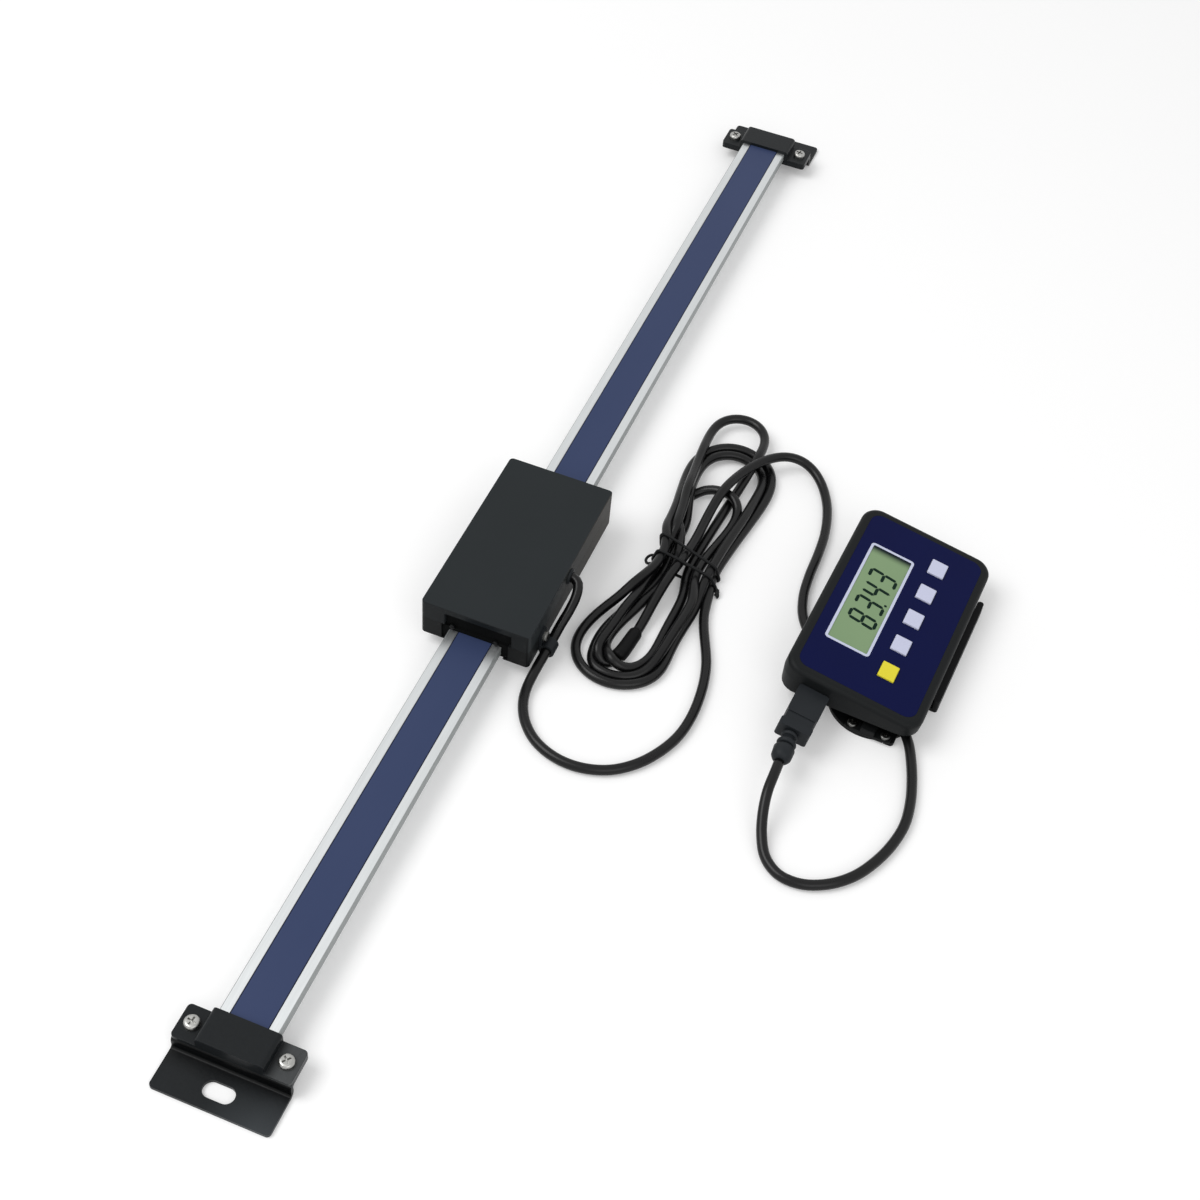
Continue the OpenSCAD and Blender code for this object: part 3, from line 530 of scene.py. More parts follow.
def ring_row(made, inputs):
    """Rings strung along a line, each a set share wider than the one before."""
    ends = {"Count": inputs["Count"], "Start Location": inputs["Start"], "Offset": inputs["End"]}
    line = made.node("GeometryNodeMeshLine", {"mode": "END_POINTS"}, ends)
    less = {"operation": "SUBTRACT"}
    way = made.node("ShaderNodeVectorMath", less, {0: inputs["End"], 1: inputs["Start"]})
    turn = made.node("FunctionNodeAlignRotationToVector", {"axis": "Z"}, {"Vector": way})
    size = made.node("GeometryNodeInputIndex") * inputs["Growth"] + 1.0
    path = circle(made, inputs["Radius"], 40)
    section = circle(made, inputs["Wire"], 12)
    ring = made.node("GeometryNodeCurveToMesh", (), {"Curve": path, "Profile Curve": section})
    placed = {"Points": line, "Instance": ring, "Rotation": turn, "Scale": size}
    return made.node("GeometryNodeInstanceOnPoints", (), placed)


def cutter(low, high):
    """A box that takes part in one cut only."""
    mesh = bpy.data.meshes.new("cutter")
    box = bmesh.new()
    bmesh.ops.create_cube(box, size=1.0)
    for vert in box.verts:
        vert.co = [(low[k] + high[k]) / 2 + vert.co[k] * (high[k] - low[k]) for k in range(3)]
    box.to_mesh(mesh)
    box.free()
    return added("cutter", mesh)


WELD = 0.004 * MM
# Faces that meet within the first angle are one, edges sharper than the second are rounded
FLAT_WITHIN = 0.02
EDGE_ANGLE = math.radians(32)


def softened(node, width, material, segments=2, cut=None, shape=None):
    """A copy of a CAD node with its sharp edges rounded, standing for that node. cut takes a box
    out of it first, and shape moves its points."""
    obj = added(node + "_soft", frame["nodes"][node].data.copy())
    work = bmesh.new()
    work.from_mesh(obj.data)
    bmesh.ops.remove_doubles(work, verts=work.verts, dist=WELD)
    bmesh.ops.dissolve_limit(work, angle_limit=FLAT_WITHIN, verts=work.verts, edges=work.edges)
    bmesh.ops.recalc_face_normals(work, faces=work.faces)
    work.to_mesh(obj.data)
    work.free()
    # Normals and sharp marks of the CAD mesh no longer fit
    for key in list(obj.data.attributes.keys()):
        if key in ("custom_normal", "sharp_edge", "sharp_face"):
            obj.data.attributes.remove(obj.data.attributes[key])
    if shape:
        for vert in obj.data.vertices:
            vert.co = shape(np.array(vert.co))
    obj.data.shade_smooth()
    if cut:
        box = cutter(*cut)
        taken = obj.modifiers.new("cut", "BOOLEAN")
        taken.operation = "DIFFERENCE"
        taken.object = box
        baked(obj)
        bpy.data.objects.remove(box)
    bevel = obj.modifiers.new("edges", "BEVEL")
    bevel.width = width
    bevel.segments = segments
    bevel.limit_method = "ANGLE"
    bevel.angle_limit = EDGE_ANGLE
    bevel.harden_normals = True
    bevel.miter_outer = "MITER_ARC"
    flat = obj.modifiers.new("normals", "WEIGHTED_NORMAL")
    flat.keep_sharp = True
    baked(obj)
    wear(obj, material)
    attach(obj, home(node))
    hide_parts(node)
    return obj


def dressed(node, material):
    """A CAD node that stays as it is, in its material."""
    obj = frame["nodes"][node]
    for slot in obj.material_slots:
        slot.material = material
    if not obj.material_slots:
        obj.data.materials.append(material)


def all_dressed(finishes):
    """Several CAD nodes that stay as they are, in their materials."""
    for node, finish in finishes.items():
        dressed(node, finish)


PER_POINT = 10


def smooth_path(points, per=PER_POINT):
    """Centripetal curve through points, with a number of steps between each pair."""
    p = np.asarray(points, float)
    p = np.vstack([2 * p[0] - p[1], p, 2 * p[-1] - p[-2]])
    out = []
    for i in range(1, len(p) - 2):
        a, b, c, d = p[i - 1 : i + 3]
        t0 = 0.0
        t1 = t0 + np.sqrt(np.linalg.norm(b - a))
        t2 = t1 + np.sqrt(np.linalg.norm(c - b))
        t3 = t2 + np.sqrt(np.linalg.norm(d - c))
        for t in np.linspace(t1, t2, per, endpoint=False):
            a1 = (t1 - t) / (t1 - t0) * a + (t - t0) / (t1 - t0) * b
            a2 = (t2 - t) / (t2 - t1) * b + (t - t1) / (t2 - t1) * c
            a3 = (t3 - t) / (t3 - t2) * c + (t - t2) / (t3 - t2) * d
            b1 = (t2 - t) / (t2 - t0) * a1 + (t - t0) / (t2 - t0) * a2
            b2 = (t3 - t) / (t3 - t1) * a2 + (t - t1) / (t3 - t1) * a3
            out.append((t2 - t) / (t2 - t1) * b1 + (t - t1) / (t2 - t1) * b2)
    out.append(p[-2])
    return np.array(out)


def length_of(path):
    """Length along a path."""
    return float(np.linalg.norm(np.diff(path, axis=0), axis=1).sum())


def even(path, step):
    """The same path with its points a set distance apart."""
    along = np.r_[0, np.cumsum(np.linalg.norm(np.diff(path, axis=0), axis=1))]
    count = int(round(along[-1] / step))
    at = np.linspace(0, along[-1], count + 1)
    return np.column_stack([np.interp(at, along, path[:, k]) for k in range(3)])


def tube(name, path, radius, material, body, sides=14):
    """Round tube along a path, its rings carried along without twist. radius may vary."""
    path = np.asarray(path, float)
    count = len(path)
    radii = np.full(count, radius, float) if np.isscalar(radius) else np.asarray(radius, float)
    ways = np.gradient(path, axis=0)
    ways /= np.linalg.norm(ways, axis=1)[:, None]
    side = np.cross(ways[0], (0.0, 0.0, 1.0))
    if np.linalg.norm(side) < 0.1:
        side = np.cross(ways[0], (1.0, 0.0, 0.0))
    verts = []
    for point, way, r in zip(path, ways, radii):
        side = side - way * side.dot(way)
        side /= np.linalg.norm(side)
        over = np.cross(way, side)
        for k in range(sides):
            q = 2 * math.pi * k / sides
            verts.append(point + r * math.cos(q) * side + r * math.sin(q) * over)
    faces = []
    for base in range(0, (count - 1) * sides, sides):
        for k in range(sides):
            n = (k + 1) % sides
            faces.append((base + k, base + n, base + sides + n, base + sides + k))
    faces.append(tuple(range(sides - 1, -1, -1)))
    faces.append(tuple(range((count - 1) * sides, count * sides)))
    return piece(name, verts, faces, material, body)


# ---- Lead ----------------------------------------------------------------------------------

CORD_D = 3.9 * MM
CORD_R = CORD_D / 2
TABLE_Z = 1.96
# Steps along the lead while it settles, in mm, and along the finished lead
STRAND_STEP = 2.5
LEAD_STEP = 1.6 * MM

# From the head's grommet, through its clip and round on the table to the hank, in mm
HEAD_ROUTE = [
    (-46.4, -18.6, 17.4), (-46.4, -22.9, 17.4), (-47.5, -25.5, 16.9), (-51.5, -27, 15.4),
    (-57.5, -26.9, 12.8), (-63.5, -25.7, 9.4), (-69.6, -24.91, 6.5), (-76.6, -24.91, 6.5),
    (-84, -24.2, 4.2), (-91, -24, 2.4), (-98, -25.5, 1.96), (-105.5, -29.5, 1.96),
    (-112, -36.3, 1.96), (-115.8, -45.5, 1.96), (-116.2, -55, 1.96), (-113, -65, 1.96),
    (-106.5, -73, 1.96), (-98, -78.8, 1.96), (-88.5, -82.6, 1.96), (-78.5, -84, 1.96),
    (-68, -83.7, 1.96), (-58, -82.2, 1.96), (-48.5, -79.4, 1.96),
]
# From the hank's far lobe to the display's plug, in mm
READOUT_ROUTE = [
    (43, -99.3, 1.96),
    (31, -101.8, 1.96), (19, -102.6, 1.96), (7, -102.8, 1.96), (-4.5, -104, 1.96),
    (-14.5, -107.2, 1.98), (-22.5, -113, 2.2), (-28, -120.5, 3.2), (-33, -128, 3.62),
    (-38, -135.5, 3.62), (-42.2, -143.3, 3.62), (-46, -150.3, 3.62), (-50.4, -156, 3.62),
    (-56.4, -160.6, 3.3), (-64, -164, 2.6), (-72, -166.6, 2.05), (-81.5, -168.6, 1.96),
    (-91.5, -169.2, 1.96), (-101.5, -167.4, 1.96), (-111, -163.8, 1.96),
    (-119.6, -158.6, 1.96), (-126.2, -151.4, 1.96), (-130, -142.8, 1.96),
    (-129.6, -134.6, 1.96), (-124.9, -128.2, 2.1), (-118, -124.3, 3.9), (-111, -122, 7.2),
    (-104, -120.9, 10.3),
]
# First run from the table to the tie, and last run over the far lobe, in mm
HANK_IN = [(-36.5, -74, 1.96), (-26.5, -70.5, 1.96)]
HANK_OUT = [
    (-55, -50.6, 2.3), (-45, -52, 3.5), (-30.5, -52.5, 6), (-15.5, -54.5, 7.5),
    (-0.5, -56.5, 7), (14.5, -56.5, 7), (28.5, -57.5, 8.5), (43, -61.5, 9), (56, -68.5, 8.4),
    (64.5, -76.5, 6), (66, -83.5, 3.6), (61.5, -90, 2.2), (53.5, -95.3, 1.96),
]
# Where the turns narrow to their waist, and where the tie's two loops go round it, in mm
TIE_X = -14.0
TIE_FAR_X = -7.0
TIE_NEAR_X = -13.8
# The four turns of the hank, in mm: how far each end reaches, its middle line and half width,
# the places of the two sides at the tie, and the heights of the two sides there
TURNS = [
    dict(far=(62.5, -57, 17), near=(-77.6, -48.6, 17), tie=(-68.2, -47.5), rise=(2, 7)),
    dict(far=(58.2, -57.2, 13.8), near=(-74, -51.6, 12), tie=(-67, -50.5), rise=(5.5, 2.5)),
    dict(far=(36, -55.5, 11.5), near=(-69.5, -51.2, 9.8), tie=(-62, -53), rise=(4.5, 4)),
    dict(far=(80.5, -52.4, 11.4), near=(-71, -45.4, 4.4), tie=(-58.5, -47), rise=(2, 6.5)),
]
# Drawn heights of a turn's sides at the start of its round ends, and of the round ends, in mm
LEG_Z = 3.4
LOBE_Z = 3.2


def hank_turn(far, near, tie, rise):
    """One turn of the hank: out along the right side, round the far end and back round the near."""
    points = []

    def leg(shares, centre, edge, side):
        """Part of a side, by shares of the way from the tie to the middle of a lobe."""
        for share in shares:
            ease = share * share * (3 - 2 * share)
            y = tie[side] + (edge - tie[side]) * ease
            z = rise[side] + (LEG_Z - rise[side]) * ease
            points.append((TIE_X + (centre - TIE_X) * share, y, z))

    for end, way, first, last in ((far, 1, 0, 1), (near, -1, 1, 0)):
        reach, middle, half = end
        centre = reach - way * half
        leg((0.0, 0.25, 0.5, 0.75), centre, middle - way * half, first)
        for angle in range(-80, 81, 32):
            q = math.radians(angle)
            along, across = way * half * math.cos(q), way * half * math.sin(q)
            points.append((centre + along, middle + across, LOBE_Z))
        leg((0.75, 0.5, 0.25), centre, middle + way * half, last)
    return points


SETTLE_ROUNDS = 700
# Strands this many steps apart along the lead can't touch
STIFF_STEPS = 4
# How much of its way back a strand is pulled each round, across the line of sight and along it
BACK_ACROSS = 0.05
BACK_ALONG = 0.004
SINK = 0.012
LIFT_SHARE = 1.6
TOP_Z = 9.4
# Steps over which the lead goes from held to free at the ends of the hank, and how far beyond
# them it still pushes
LET_GO = 8
MARGIN = 12
# Share of each round's force that moves a strand, and of its bends that is evened
MOVE = 0.6
EVEN_CURVE = 0.45
EVEN_BEND = 0.1


def settled(path, first, last):
    """Lets the strands of the hank push each other apart and sink, keeping near their drawn
    places as seen from the camera and keeping the lead smooth."""
    eye = np.array(CAMERA_AT) / MM
    drawn = path.copy()
    x = path.copy()
    free = np.zeros(len(x))
    free[first:last] = 1
    for k in range(LET_GO):
        free[first + k] = free[last - 1 - k] = (k + 1) / (LET_GO + 1)
    low = max(first - MARGIN, 0)
    high = min(last + MARGIN, len(x))
    span = np.arange(low, high)
    upper = np.triu(np.abs(span[:, None] - span[None, :]) > STIFF_STEPS)
    gap = CORD_D / MM
    for _ in range(SETTLE_ROUNDS):
        # Strands that overlap push each other apart, and up more than aside
        part = x[low:high]
        force = np.zeros_like(x)
        delta = part[None, :, :] - part[:, None, :]
        far = np.sqrt((delta**2).sum(2)) + 1e-9
        i, j = np.nonzero(upper & (far < gap))
        v = delta[i, j]
        reach = far[i, j][:, None]
        push = (gap - reach) / reach * v * 0.5
        push[:, 2] *= LIFT_SHARE
        met = np.zeros(len(x))
        np.add.at(met, low + i, 1)
        np.add.at(met, low + j, 1)
        np.add.at(force, low + i, -push)
        np.add.at(force, low + j, push)
        force /= np.sqrt(np.maximum(met, 1))[:, None]
        # Each is pulled back to its drawn place, and sinks
        back = drawn - x
        sight = x - eye
        sight /= np.linalg.norm(sight, axis=1)[:, None]
        deep = (back * sight).sum(1)[:, None] * sight
        force += BACK_ACROSS * (back - deep) + BACK_ALONG * deep
        force[:, 2] -= SINK
        x = x + force * free[:, None] * MOVE
        # The lead's own stiffness evens its bends
        bend = np.zeros_like(x)
        bend[1:-1] = (x[:-2] + x[2:]) / 2 - x[1:-1]
        twice = np.zeros_like(x)
        twice[1:-1] = (bend[:-2] + bend[2:]) / 2 - bend[1:-1]
        x = x - (twice * EVEN_CURVE) * free[:, None] + bend * EVEN_BEND * free[:, None]
        x[:, 2] = np.where(free > 0, np.clip(x[:, 2], TABLE_Z, TOP_Z), x[:, 2])
    return x


def lead_path():
    """The whole lead's centreline in metres, the same at coarser steps in mm, and the steps at
    which its hank starts and ends."""
    thin, thick = relief_ends()
    way = (thin - thick) / np.linalg.norm(thin - thick)
    mouth = [tuple(thin + way * 6), tuple(thin + way * 0.2)]
    # The last turn runs on into HANK_OUT, without its own way back to the tie
    turns = [p for turn in TURNS for p in hank_turn(**turn)][:-3]
    whole = HEAD_ROUTE + HANK_IN + turns + HANK_OUT + READOUT_ROUTE + mouth
    path = smooth_path(whole)
    first = int(length_of(path[: PER_POINT * (len(HEAD_ROUTE) - 1)]) / STRAND_STEP)
    before_out = len(whole) - len(READOUT_ROUTE) - len(mouth)
    last = int(length_of(path[: PER_POINT * before_out]) / STRAND_STEP)
    coarse = settled(even(path, STRAND_STEP), first, last)
    fine = even(smooth_path(coarse * MM, 3), LEAD_STEP)
    fine[:, 2] = np.maximum(fine[:, 2], CORD_R)
    return fine, coarse, first, last


def relief_ends(within=0.4):
    """Middle of the relief's thin and thick end, in mm, from the corners that lie close to them."""
    low, high = (np.array(c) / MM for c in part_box("strain_relief"))
    verts = np.array([v.co for v in frame["nodes"]["strain_relief"].data.vertices]) / MM
    thin = verts[verts[:, 0] < low[0] + within].mean(0)
    thick = verts[verts[:, 0] > high[0] - within].mean(0)
    return thin, thick


LEAD, LEAD_MM, HANK_FIRST, HANK_LAST = lead_path()
lead = tube("lead", LEAD, CORD_R, cord_finish, HEAD)
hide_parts("head_cord", "cord_hank", "readout_cord")

# ---- Sleeve on the inner strand and twist tie round the waist --------------------------------

# Where the sleeve starts on the table, in mm, and how many steps of the lead it covers
SLEEVE_FROM = np.array((-62.5, -49.3))
SLEEVE_STEPS = 7
SLEEVE_WALL = 1.05 * MM
SLEEVE_TAPER = 0.1
SLEEVE_END = 0.9
hank = LEAD_MM[HANK_FIRST:HANK_LAST]
late = len(hank) // 2
start = late + int(np.argmin(np.linalg.norm(hank[late:, :2] - SLEEVE_FROM, axis=1)))
sleeve_path = even(smooth_path(hank[start : start + SLEEVE_STEPS]), 0.6)
along = np.linspace(0, 1, len(sleeve_path))
sleeve_radius = (CORD_R + SLEEVE_WALL) * (1 - SLEEVE_TAPER * along)
sleeve_radius[0] *= SLEEVE_END
sleeve_radius[-1] *= SLEEVE_END
sleeve_path[:, 2] = np.maximum(sleeve_path[:, 2], sleeve_radius / MM)
sleeve = tube("sleeve", sleeve_path * MM, sleeve_radius, sleeve_finish, HEAD, sides=20)
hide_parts("inline_sleeve")

# The tie's wire, and the strip across the table in which it finds the strands it holds, in mm
WIRE_R = 0.58
BUNDLE_MIDDLE_Y = -57.0
BUNDLE_LOW_Y = -78
BUNDLE_HIGH_Y = -38
HALF_SLICE = 1.4


def tie_loop(x, slope):
    """A wire drawn tight round all strands that pass a slanting plane across the hank, in mm."""
    middle_x = x + slope * (LEAD_MM[:, 1] - BUNDLE_MIDDLE_Y)
    near = LEAD_MM[np.abs(LEAD_MM[:, 0] - middle_x) < HALF_SLICE]
    near = near[(near[:, 1] > BUNDLE_LOW_Y) & (near[:, 1] < BUNDLE_HIGH_Y)][:, 1:]
    points = []
    for angle in np.arange(0, 360, 6):
        way = np.array((math.cos(math.radians(angle)), math.sin(math.radians(angle))))
        y, z = near[np.argmax(near @ way)] + way * (CORD_R / MM + WIRE_R * 0.9)
        points.append((x + slope * (y - BUNDLE_MIDDLE_Y), y, max(z, WIRE_R)))
    points = np.array(points)
    for _ in range(2):
        points = (np.roll(points, 1, axis=0) + 2 * points + np.roll(points, -1, axis=0)) / 4
    points[:, 2] = np.maximum(points[:, 2], WIRE_R)
    return points


tie_verts = []
tie_edges = []


def tie_path(points, closed):
    """Adds a path in mm to the tie's wire."""
    base = len(tie_verts)
    count = len(points)
    tie_verts.extend(np.asarray(points) * MM)
    links = count if closed else count - 1
    tie_edges.extend((base + k, base + (k + 1) % count) for k in range(links))


far_loop = tie_loop(TIE_FAR_X, 0.2)
near_loop = tie_loop(TIE_NEAR_X, 0.08)
tie_path(far_loop, True)
tie_path(near_loop, True)
left_end = near_loop[np.argmax(near_loop[:, 1])]
right_end = near_loop[np.argmin(near_loop[:, 1])]
# The eye bent at the wire's left end and the twisted ends pressed down on the right, in mm
EYE = (
    (1.4, -0.5, 0.4), (1.7, 1.0, -0.2), (0.6, 2.1, -0.6), (-1.2, 2.3, -0.9), (-2.3, 1.4, -1.0),
    (-1.9, -0.4, -0.8),
)
eye = smooth_path([(x, y, max(z, WIRE_R)) for x, y, z in (left_end + np.array(p) for p in EYE)], 8)
tie_path(eye, False)
for phase in (0, math.pi):
    twisted = []
    for t in np.linspace(0, 1, 24):
        aside, rise = 0.5 * math.cos(phase + 8 * t), 0.5 * math.sin(phase + 8 * t)
        twisted.append(right_end + np.array((-3.2 * t, -0.5 - 1.1 * t + aside, -0.8 * t + rise)))
    tie_path(twisted, False)
tie_verts = [(x, y, max(z, WIRE_R * MM)) for x, y, z in tie_verts]
tie_inputs = {"Radius": ("NodeSocketFloat", WIRE_R * MM)}
tie = grown("hank_tie_wires", wire, wire_finish, HEAD, tie_inputs, tie_verts, tie_edges)
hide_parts("hank_tie")

# ---- Scale ---------------------------------------------------------------------------------

for node in ("near_bracket", "far_bracket", "near_end_cap", "far_end_cap"):
    softened(node, 0.3 * MM, bracket_finish)
all_dressed({
    "beam": beam_finish, "measuring_grid": grid_finish, "blue_film": film_finish,
    "near_cap_screws": steel_finish, "far_cap_screws": steel_finish,
})

# ---- Reader head ---------------------------------------------------------------------------

# The recess in the head's near face
RECESS_LEFT = 12.2 * MM
RECESS_RIGHT = -14.6 * MM
RECESS_DEPTH = 1.8 * MM
RECESS_LINTEL = 2.4 * MM
BACK_GAP = 0.2 * MM
BACK_HALF_T = 0.3 * MM

softened("head_housing", 0.35 * MM, head_low_finish)
cover_low, cover_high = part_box("head_cover")
recess_from = (cover_low[0] - 1 * MM, RECESS_RIGHT, cover_low[2] - 1 * MM)
recess_to = (cover_low[0] + RECESS_DEPTH, RECESS_LEFT, cover_high[2] - RECESS_LINTEL)
softened("head_cover", 0.55 * MM, head_top_finish, segments=3, cut=(recess_from, recess_to))
softened("cable_clip", 0.3 * MM, moulding_finish)
softened("cable_grommet", 0.25 * MM, moulding_finish)
all_dressed({
    "head_base_plate": plate_finish, "head_screws": steel_finish, "slide_pads": pad_finish,
    "fixed_guides": pad_finish, "gib_strip": plate_finish, "gib_screws": steel_finish,
    "near_wiper": felt_finish, "far_wiper": felt_finish, "sensor_board": board_finish,
    "board_screws": steel_finish, "reader_chip": chip_finish, "cable_header": connector_finish,
    "clip_screw": dark_steel_finish,
})

# The near recess's dark felt back, partly painted shade, and the two small pegs over the beam's
# edges
wiper_low, wiper_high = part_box("near_wiper")
back_x = cover_low[0] + RECESS_DEPTH
back_from = (back_x - BACK_HALF_T, RECESS_RIGHT + BACK_GAP, wiper_high[2] - 1 * MM)
back_to = (back_x + BACK_HALF_T, RECESS_LEFT - BACK_GAP, cover_high[2] - RECESS_LINTEL - BACK_GAP)
verts, faces = box_of(back_from, back_to)
# A felt plate at the back of the near recess, there to darken it as painted shade
back = piece("near_wiper_back", verts, faces, felt_finish, HEAD, smooth=False)
PEG_R = 1.0 * MM
PEG_AT = ((9.2 * MM, 13.4 * MM), (-8.2 * MM, 12.6 * MM))
for number, (y, z) in enumerate(PEG_AT):
    ends = [(wiper_low[0] + reach * MM, y, z) for reach in (0.2, -0.6, -0.9)]
    name = "wiper_peg_%d" % number
    peg = tube(name, ends, [PEG_R, PEG_R, PEG_R * 0.6], stand_finish, HEAD, sides=16)

# ---- Display -------------------------------------------------------------------------------


def middle(node):
    """Middle of a node's box."""
    low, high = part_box(node)
    return (low + high) / 2


# The display's own directions: along its keys, across them and out of its face
key_joint = next(j for j in frame["joints"] if j["name"] == "key_zero_press")
FACE_N = -Vector(key_joint["axis"]).normalized()
FACE_U = (middle("key_absolute") - middle("key_power")).normalized()
FACE_U = (FACE_U - FACE_N * FACE_U.dot(FACE_N)).normalized()
FACE_V = FACE_N.cross(FACE_U)
FACE_AXES = np.array([FACE_U, FACE_V, FACE_N])


def spans(node):
    """Lowest and highest place of a node along the display's own three directions."""
    verts = np.array([v.co for v in frame["nodes"][node].data.vertices]) @ FACE_AXES.T
    return verts.min(0), verts.max(0)


def on_face(points):
    """Points in the display's own directions, in the whole model's."""
    return np.asarray(points, float) @ FACE_AXES


window_low, window_high = spans("lcd_window")
face_level = spans("face_overlay")[1][2]
display_finish = display_glass(FACE_U, window_high[0])

softened("front_case", 0.3 * MM, case_finish)
softened("rear_case", 0.4 * MM, case_finish)
dressed("face_overlay", overlay_finish)
dressed("lcd_window", display_finish)
for node in ("key_absolute", "key_set", "key_zero", "key_units"):
    softened(node, 0.35 * MM, key_finish)
softened("key_power", 0.35 * MM, power_finish)
softened("stand", 0.3 * MM, stand_finish)
softened("disc_keeper", 0.3 * MM, stand_finish)

# The plug's moulding is drawn in behind its front part, and the relief follows it
PLUG_REACH = 24.4 * MM
PLUG_SHORTER = 3.8 * MM
PLUG_FRONT = 10 * MM
relief_end, relief_start = (np.array(p) * MM for p in relief_ends())
relief_way = (relief_end - relief_start) / np.linalg.norm(relief_end - relief_start)


def drawn_in(point):
    """Draws the back of the plug's moulding in towards the display."""
    reach = PLUG_REACH + float((point - relief_start) @ relief_way)
    share = max(reach - PLUG_FRONT, 0) / (PLUG_REACH - PLUG_FRONT)
    return point - relief_way * PLUG_SHORTER * share


softened("plug_body", 0.45 * MM, moulding_finish, shape=drawn_in)
relief_start = relief_start - relief_way * PLUG_SHORTER
# Places along the relief and its radius there, in mm
RELIEF_SHAPE = (
    (-1, 2.5), (6.6, 2.6), (7.1, 3.7), (7.6, 3.95), (11.2, 3.75), (11.9, 3.4), (12.6, 2.9),
    (13.2, 2.1),
)
relief_line = [relief_start + relief_way * at * MM for at, _ in RELIEF_SHAPE]
relief_radii = [r * MM for _, r in RELIEF_SHAPE]
relief = tube("relief_core", relief_line, relief_radii, moulding_finish, HEAD, sides=28)
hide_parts("strain_relief")
rings = grown("relief_rings", ring_row, moulding_finish, HEAD, {
    "Start": ("NodeSocketVector", tuple(relief_start + relief_way * 1.3 * MM)),
    "End": ("NodeSocketVector", tuple(relief_start + relief_way * 4.9 * MM)),
    "Count": ("NodeSocketInt", 2),
    "Radius": ("NodeSocketFloat", 2.3 * MM),
    "Growth": ("NodeSocketFloat", 0.15),
    "Wire": ("NodeSocketFloat", 0.9 * MM),
})
all_dressed({
    "lcd_glass": display_finish, "readout_board": board_finish, "key_mat": mat_finish,
    "usb_socket": steel_finish, "plug_shell": steel_finish, "battery": steel_finish,
    "battery_clip": plate_finish, "battery_cover": case_finish, "case_screws": steel_finish,
    "stand_screws": steel_finish, "keeper_screws": dark_steel_finish,
})


def round_loop(low, high, radius, steps=6):
    """Outline of a rectangle with rounded corners, running round with the left-hand rule."""
    right, left = high[0] - radius, low[0] + radius
    top, bottom = high[1] - radius, low[1] + radius
    points = []
    for corner, (u, v) in enumerate(((right, top), (left, top), (left, bottom), (right, bottom))):
        for k in range(steps + 1):
            q = math.pi / 2 * (corner + k / steps)
            points.append((u + radius * math.cos(q), v + radius * math.sin(q)))
    return points


def frame_ring(low, high, width, level, height):
    """Flat ring with rounded corners in the display's own directions."""
    inner = round_loop(low, high, 0.5 * MM)
    outer = round_loop(low - width, high + width, 1.4 * MM)
    count = len(inner)
    verts = [(*p, level + h) for h in (0, height) for p in inner + outer]
    faces = []
    top = 2 * count
    for k in range(count):
        n = (k + 1) % count
        a, b, c, d = k, n, count + n, count + k
        faces += [
            (top + a, top + d, top + c, top + b), (a, b, c, d), (d, c, top + c, top + d),
            (a, top + a, top + b, b),
        ]
    return on_face(verts), faces


LINE_W = 1.05 * MM
PRINT_T = 0.05 * MM
# How deep printed pieces sit in what they are printed on
PRINT_SINK = 0.01 * MM
line_level = face_level - PRINT_SINK
ring, ring_faces = frame_ring(window_low[:2], window_high[:2], LINE_W, line_level, PRINT_T)
window_line = piece("window_line", ring, ring_faces, line_finish, HEAD, smooth=False)

DIGIT_H = 10.6 * MM
DIGIT_W = 4.2 * MM
DIGIT_PITCH = 7.55 * MM
STROKE = 1.3 * MM
STROKE_GAP = 0.12 * MM
SLANT = 0.105
NUMBER = "8343"
SEGMENTS = {"8": "abcdefg", "3": "abcdg", "4": "bcfg"}
STROKES = {
    "a": ((0, 1), (1, 1)), "b": ((1, 1), (1, 0.5)), "c": ((1, 0.5), (1, 0)), "d": ((0, 0), (1, 0)),
    "e": ((0, 0), (0, 0.5)), "f": ((0, 0.5), (0, 1)), "g": ((0, 0.5), (1, 0.5)),
}


def segment(start, end):
    """One segment of a digit: a flat bar with pointed ends."""
    a = np.array(start, float)
    b = np.array(end, float)
    way = (b - a) / np.linalg.norm(b - a)
    side = np.array((-way[1], way[0])) * STROKE / 2
    a = a + way * STROKE_GAP
    b = b - way * STROKE_GAP
    tip = way * STROKE / 2
    return [a, a + tip + side, b - tip + side, b, b - tip - side, a + tip - side]


digit_verts = []
digit_faces = []


def add_plate(outline, level, height):
    """Adds a flat plate of that outline to the digits."""
    base = len(digit_verts)
    count = len(outline)
    for lift in (0, height):
        digit_verts.extend((p[0], p[1], level + lift) for p in outline)
    digit_faces.append(tuple(base + count + k for k in range(count)))
    digit_faces.append(tuple(base + k for k in reversed(range(count))))
    for k in range(count):
        n = (k + 1) % count
        digit_faces.append((base + k, base + n, base + count + n, base + count + k))


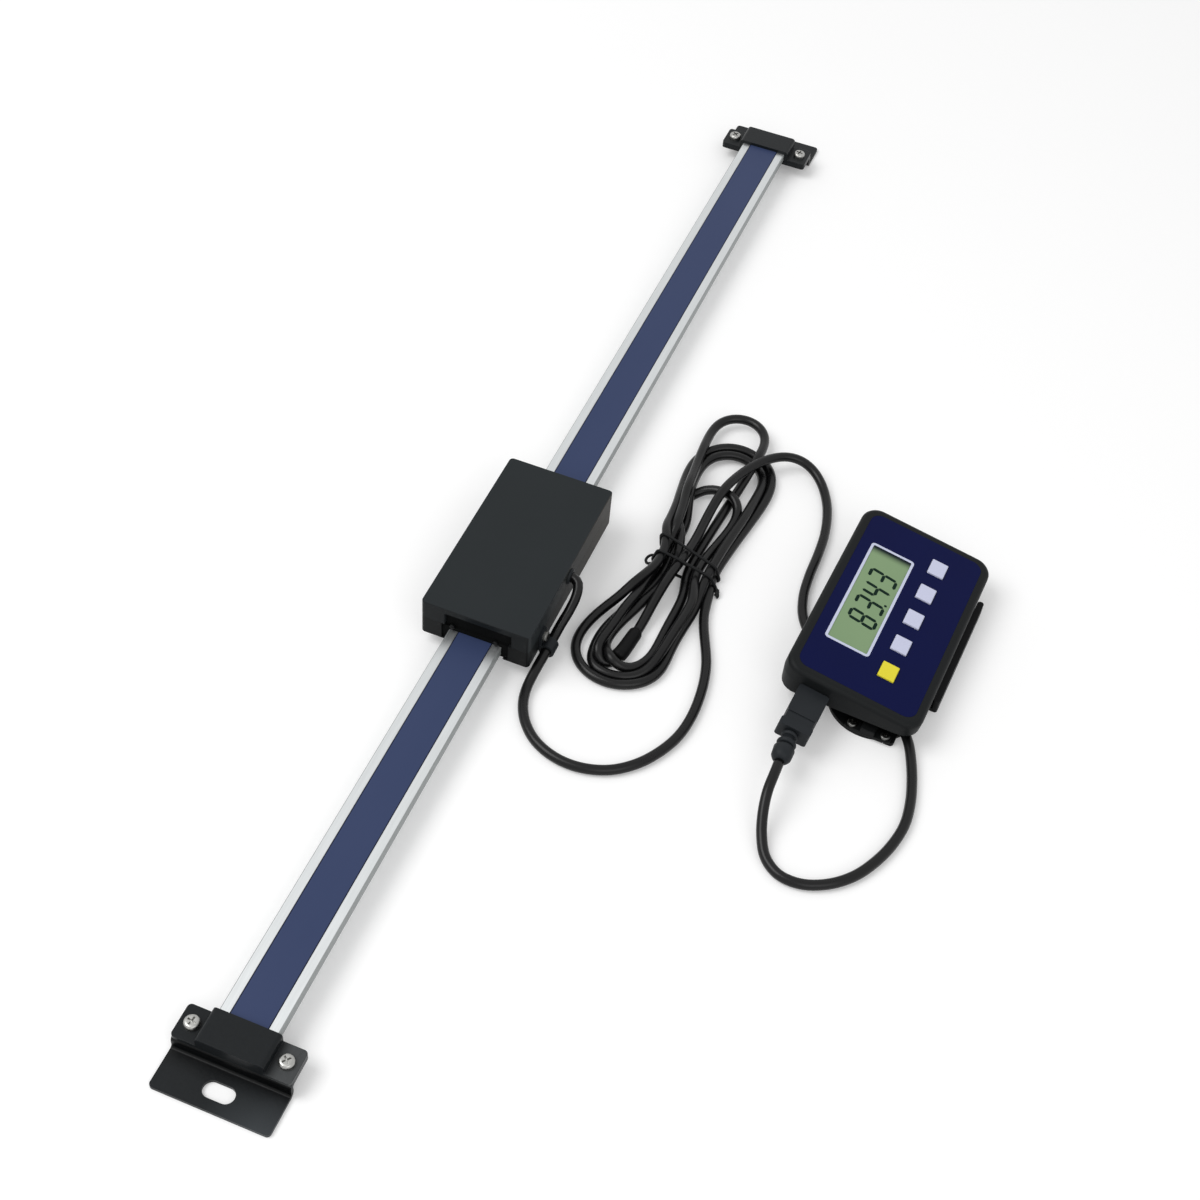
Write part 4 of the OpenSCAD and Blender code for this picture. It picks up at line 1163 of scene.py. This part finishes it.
DIGITS_AT = (window_low[0] + 12.3 * MM, window_low[1] + 1.9 * MM)
DIGIT_T = 0.04 * MM
DIGIT_LEVEL = window_high[2] - PRINT_SINK
for place, digit in enumerate(NUMBER):
    for letter in SEGMENTS[digit]:
        ends = []
        for u, v in STROKES[letter]:
            along = DIGITS_AT[0] + place * DIGIT_PITCH + u * DIGIT_W + v * DIGIT_H * SLANT
            ends.append((along, DIGITS_AT[1] + v * DIGIT_H))
        add_plate(segment(*ends)[::-1], DIGIT_LEVEL, DIGIT_T)
POINT_U = DIGITS_AT[0] + DIGIT_PITCH + DIGIT_W + 1.7 * MM
POINT_V = DIGITS_AT[1] - 0.2 * MM
POINT_HALF = 0.5 * MM
corners = ((-1, -1), (1, -1), (1, 1), (-1, 1))
point = [(POINT_U + u * POINT_HALF, POINT_V + v * POINT_HALF) for u, v in corners]
add_plate(point, DIGIT_LEVEL, DIGIT_T)
digits = piece("digits", on_face(digit_verts), digit_faces, digit_finish, HEAD, smooth=False)

# ---- Floor, light and background -----------------------------------------------------------

FLOOR_SIZE = 6.0
AMBIENT = 0.58
FLOOR_GLOW = 0.2
SEEN_RAYS = ("Is Camera Ray", "Is Glossy Ray", "Is Transmission Ray")


def seen_ray(made):
    """1 for camera, glossy and transmission rays, so that metal shows the same background."""
    seen, glossy, through = (made.node("ShaderNodeLightPath", out=ray) for ray in SEEN_RAYS)
    return (seen + glossy + through).held()


floor_mesh = bpy.data.meshes.new("floor")
half = FLOOR_SIZE / 2
floor_mesh.from_pydata([(u * half, v * half, 0) for u, v in corners], [], [(0, 1, 2, 3)])
floor = added("floor", floor_mesh)
paper = Finish("floor_paper")
paper.set("Base Color", paper.mixed(paper.noise(3.0), (0.82, 0.82, 0.82), (0.84, 0.84, 0.84)))
paper.set("Roughness", 0.9)
paper.set("Specular IOR Level", 0.1)
paper.set("Emission Color", (1, 1, 1, 1))
paper.set("Emission Strength", seen_ray(paper) * FLOOR_GLOW)
wear(floor, paper.material)


def softbox(name, place, size, power):
    """A square area light that shines on the middle of the scale."""
    light = bpy.data.lights.new(name, "AREA")
    light.shape = "SQUARE"
    light.size = size
    light.energy = power
    lamp = added(name, light)
    lamp.rotation_euler = Vector(place).to_track_quat("Z", "Y").to_euler()
    lamp.location = place


softbox("key_light", (-0.5, 0.9, 1.5), 1.1, 16)
softbox("fill_light", (-1.2, -1.0, 1.2), 1.2, 6)

world = bpy.data.worlds.new("studio")
scene.world = world
world.use_nodes = True
sky = world.node_tree.nodes["Background"]
sky.inputs["Color"].default_value = (1, 1, 1, 1)
strength = seen_ray(Nodes(world.node_tree)) * (1 - AMBIENT) + AMBIENT
world.node_tree.links.new(strength.socket, sky.inputs["Strength"])
scene.view_settings.view_transform = "Standard"

bpy.context.view_layer.update()
